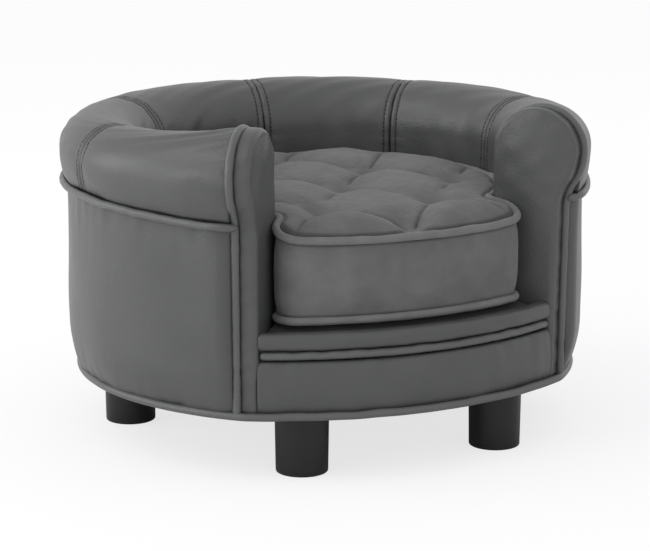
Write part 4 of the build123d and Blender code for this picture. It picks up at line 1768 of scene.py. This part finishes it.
    def inflated(self, piece: Piece) -> None:
        """Blows the body up as cloth held at its seams, tufts and underside.

        Args:
            piece: The cushion's body, whose mesh is changed.
        """
        rest = read_points(piece.data)
        plan = rest[:, :2] - [0.0, RING.axis_y]
        near, reach = self.held_seam
        seam = (np.abs(rest[:, 2] - self.seam_height(plan)) < near) & (self.edge_distance(plan) < reach)
        tuft = (self.tuft_gaps(plan).min(axis=-1) < self.held_tuft) & (rest[:, 2] > self.held_above)
        held = seam | tuft | (rest[:, 2] < self.low_seam + self.held_low)
        group = piece.vertex_groups.new(name="held")
        group.add(np.flatnonzero(held).tolist(), 1.0, "REPLACE")
        cloth = piece.modifiers.new("inflate", "CLOTH")
        settings = cloth.settings
        settings.quality = self.cloth_quality
        settings.mass = self.cloth_mass
        settings.tension_stiffness = settings.compression_stiffness = self.stiffness[0]
        settings.shear_stiffness, settings.bending_stiffness = self.stiffness[1:]
        settings.use_pressure = True
        settings.uniform_pressure_force = self.pressure
        settings.vertex_group_mass = group.name
        settings.effector_weights.gravity = 0.0
        cloth.collision_settings.use_collision = False
        cloth.point_cache.frame_start, cloth.point_cache.frame_end = 1, self.frames
        for number in range(1, self.frames + 1):
            bpy.context.scene.frame_set(number)
        graph = bpy.context.evaluated_depsgraph_get()
        move = read_points(piece.evaluated_get(graph).data) - rest
        piece.modifiers.remove(cloth)
        piece.vertex_groups.clear()
        bpy.context.scene.frame_set(1)
        size = np.linalg.norm(move, axis=1, keepdims=True)
        move *= np.minimum(1.0, self.cap / np.maximum(size, MERGE))
        write_points(piece.data, rest + move)
        LOG.info("cushion inflated: mean %.1f mm, most %.1f mm", size.mean() / MM, size.max() / MM)

    def sewn(self, piece: Piece) -> None:
        """Cuts the pleats' creases, the tufts' pinches and the gathers round them into the top.

        A crease fades with the distance from its pleat, and a gather is a cosine of the angle round
        the nearest tuft that fades with the distance from it.

        Args:
            piece: The cushion's body, whose mesh is changed.
        """
        points = read_points(piece.data)
        plan = points[:, :2] - [0.0, RING.axis_y]
        first, second, nearest, left = self.lattice(plan)
        seam = self.seam_height(plan)
        spacing = 1 / math.hypot(1 / (2 * self.tuft_column), 1 / (2 * self.tuft_row))
        line = np.minimum(first, second) * spacing
        top = smooth_step(points[:, 2] - seam, *self.top_stretch)
        which = self.tuft_gaps(plan).argmin(axis=1)
        away = plan - self.tufts()[which]
        angle = np.arctan2(away[:, 1], away[:, 0]) + self.gather_sway.at(plan[:, 0], plan[:, 1])
        waves = np.cos(self.gather_count * angle + self.gather_phase * which)
        fade = (1 - self.gather_start.at(nearest)) * self.gather_reach.at(nearest)
        raised = self.gather_depth * waves * fade + self.nap.at(plan[:, 0], plan[:, 1])
        # Painted shade in the creases and at the tufts of the top, and below beside both pipings.
        dark = (self.crease_shade.at(line) * left + self.tuft_shade.at(nearest)) * top
        height = points[:, 2] + raised * top
        beside = np.minimum(np.abs(height - seam), np.abs(height - self.low_seam))
        rim = np.flatnonzero(beside < self.rim_shade_heights[1])
        edge = smooth_step(self.edge_distance(plan[rim]), *self.rim_shade_edge)
        dark[rim] += self.rim_shade * (1 - smooth_step(beside[rim], *self.rim_shade_heights)) * (1 - edge)
        points[:, 2] = height - (self.crease.at(line) * left + self.pinch.at(nearest)) * top
        write_points(piece.data, points)
        write_crease(piece.data, np.clip(dark, 0, 1))

    def piping(self, upper: bool) -> Shape:
        """The piping of a seam, soft and a little uneven.

        Args:
            upper: Whether it is the upper seam's.

        Returns:
            The closed surface.
        """
        line = resampled(looped(self.plan.outline(self.cord.radius)), self.cord_step)[:-1]
        height = self.seam_height(line) if upper else self.low_seam
        run = np.arange(len(line)) * self.cord_step
        path = RING.planned(line, height + self.cord_wave.at(run, shift=upper) * upper)
        return tube(path, self.cord.girth(run, upper), closed=True)

    def build(self, wardrobe: Wardrobe) -> None:
        """Makes the body and both pipings.

        Args:
            wardrobe: The finishes.
        """
        piece = wardrobe.add(
            "cushion_plush",
            Shape.from_grid(self.body_grid(), np.array(self.core), closed=True),
            Slot.PLUSH,
            ["cushion_boxing", "cushion_top_cover", "cushion_bottom_cover", "cushion_foam"],
            Body.CUSHION,
            fill=0.85,
            merge=10 * MERGE,
        )
        self.changed(piece, "REMESH", mode="VOXEL", voxel_size=self.voxel)
        self.inflated(piece)
        self.changed(piece, "SUBSURF", levels=self.divisions, render_levels=self.divisions)
        smoothed(piece.data)
        self.sewn(piece)
        for upper, name in ((True, "top"), (False, "bottom")):
            wardrobe.add(
                f"cushion_{name}_piping",
                self.piping(upper),
                Slot.PLUSH_PIPING,
                [f"cushion_{name}_welt"],
                Body.CUSHION,
                merge=MERGE,
            )


# Studio


@dataclass(frozen=True)
class Lamp:
    """A soft square lamp."""

    name: str
    place: Triple
    size: float
    power: float
    aim: Triple = (0.0, 0.0, 0.16)

    def build(self) -> None:
        """Hangs the lamp and turns it to its aim."""
        data = bpy.data.lights.new(self.name, "AREA")
        data.shape = "SQUARE"
        data.size = self.size
        data.energy = self.power
        aimed(self.name, data, Vector(self.place), Vector(self.aim) - Vector(self.place))


def aimed(name: str, data: bpy.types.Camera | bpy.types.AreaLight, place: Vector, way: Vector) -> Piece:
    """A lamp or a camera at a place, turned to look one way.

    Args:
        name: Its name.
        data: Its data.
        place: Where it is.
        way: The direction that it looks in.

    Returns:
        The object.
    """
    made = bpy.data.objects.new(name, data)
    bpy.context.scene.collection.objects.link(made)
    made.location = place
    made.rotation_mode = "QUATERNION"
    made.rotation_quaternion = way.to_track_quat("-Z", "Y")
    return made


@dataclass
class Studio:
    """The floor, the white surround, the lamps and the camera."""

    camera_turn: float = math.radians(-25.2)
    camera_rise: float = math.radians(12.52)
    camera_distance: float = 2.214
    aim: Triple = (0.0, -0.0156, 0.132)
    focal_pixels: float = 2397.0
    floor_size: float = 14.0
    floor_grey: float = 0.86
    floor_roughness: float = 0.9
    floor_glow: float = 1.05
    shadow_share: float = 0.30
    surround: float = 0.88
    lamps: tuple[Lamp, ...] = (
        Lamp("key", (-1.6, 0.2, 2.0), 1.2, 9.0),
        Lamp("side", (-2.6, -0.3, 0.7), 1.0, 11.5),
        Lamp("fill", (0.6, -2.8, 0.6), 1.2, 1.5),
        Lamp("left_rim", (-2.0, 1.2, 0.8), 1.0, 9.0),
        Lamp("right_rim", (2.0, 1.0, 0.8), 1.0, 1.0),
    )

    def floor(self) -> None:
        """A pale floor that looks white but keeps part of the sofa's shadow."""
        corners = np.array([[-1, -1, 0], [1, -1, 0], [1, 1, 0], [-1, 1, 0]]) * self.floor_size / 2
        plane = Shape(corners, np.array([[0, 1, 2, 3]])).mesh("floor")
        floor = bpy.data.objects.new("floor", plane)
        bpy.context.scene.collection.objects.link(floor)
        material = bpy.data.materials.new("pale_floor")
        material.use_nodes = True
        tree = material.node_tree
        matt = tree.nodes["Principled BSDF"]
        put(tree, matt, Base_Color=(*[self.floor_grey] * 3, 1.0), Roughness=self.floor_roughness)
        glow = shader(tree, "Emission", Color=(1.0, 1.0, 1.0, 1.0), Strength=self.floor_glow)
        path = tree.nodes.new("ShaderNodeLightPath")
        seen = shader(tree, "MapRange", Value=path.outputs["Is Camera Ray"], To_Max=1 - self.shadow_share)
        mix = tree.nodes.new("ShaderNodeMixShader")
        for number, node in enumerate((seen, matt, glow)):
            tree.links.new(node.outputs[0], mix.inputs[number])
        put(tree, tree.nodes["Material Output"], Surface=mix.outputs[0])
        floor.data.materials.append(material)

    def world(self) -> None:
        """An even surround that lights the sofa and is white to the camera."""
        world = bpy.data.worlds.new("white_surround")
        bpy.context.scene.world = world
        world.use_nodes = True
        tree = world.node_tree
        seen = tree.nodes.new("ShaderNodeLightPath").outputs["Is Camera Ray"]
        amount = shader(tree, "MapRange", Value=seen, To_Min=self.surround, To_Max=1.0).outputs["Result"]
        put(tree, tree.nodes["Background"], Color=(1.0, 1.0, 1.0, 1.0), Strength=amount)

    def camera(self) -> None:
        """A camera at the photograph's height and turn, aimed at the wall's axis."""
        data = bpy.data.cameras.new("camera")
        data.sensor_width = SENSOR_WIDTH
        data.lens = self.focal_pixels / IMAGE_WIDTH * SENSOR_WIDTH
        flat, turn = math.cos(self.camera_rise), self.camera_turn
        back = Vector((math.sin(turn) * flat, -math.cos(turn) * flat, math.sin(self.camera_rise)))
        place = Vector(self.aim) + back * self.camera_distance
        bpy.context.scene.camera = aimed("camera", data, place, -back)

    def build(self) -> None:
        """Makes the floor, the surround, the lamps and the camera."""
        self.floor()
        self.world()
        for lamp in self.lamps:
            lamp.build()
        self.camera()
        bpy.context.scene.view_settings.view_transform = "Standard"


def main() -> None:
    """Dresses the CAD model, part by part, and sets up the studio."""
    logging.basicConfig(level=logging.INFO, format="%(name)s %(message)s")
    wardrobe = Wardrobe()
    wardrobe.carry_over()
    roll = RollTop()
    arms = [ArmEnd(side) for side in Side]
    for part in (roll, OuterWall(roll), *arms, Plinth(), BaseEdge(), Deck(), Cushion()):
        part.build(wardrobe)
    Studio().build()


if __name__ == "__main__":
    main()
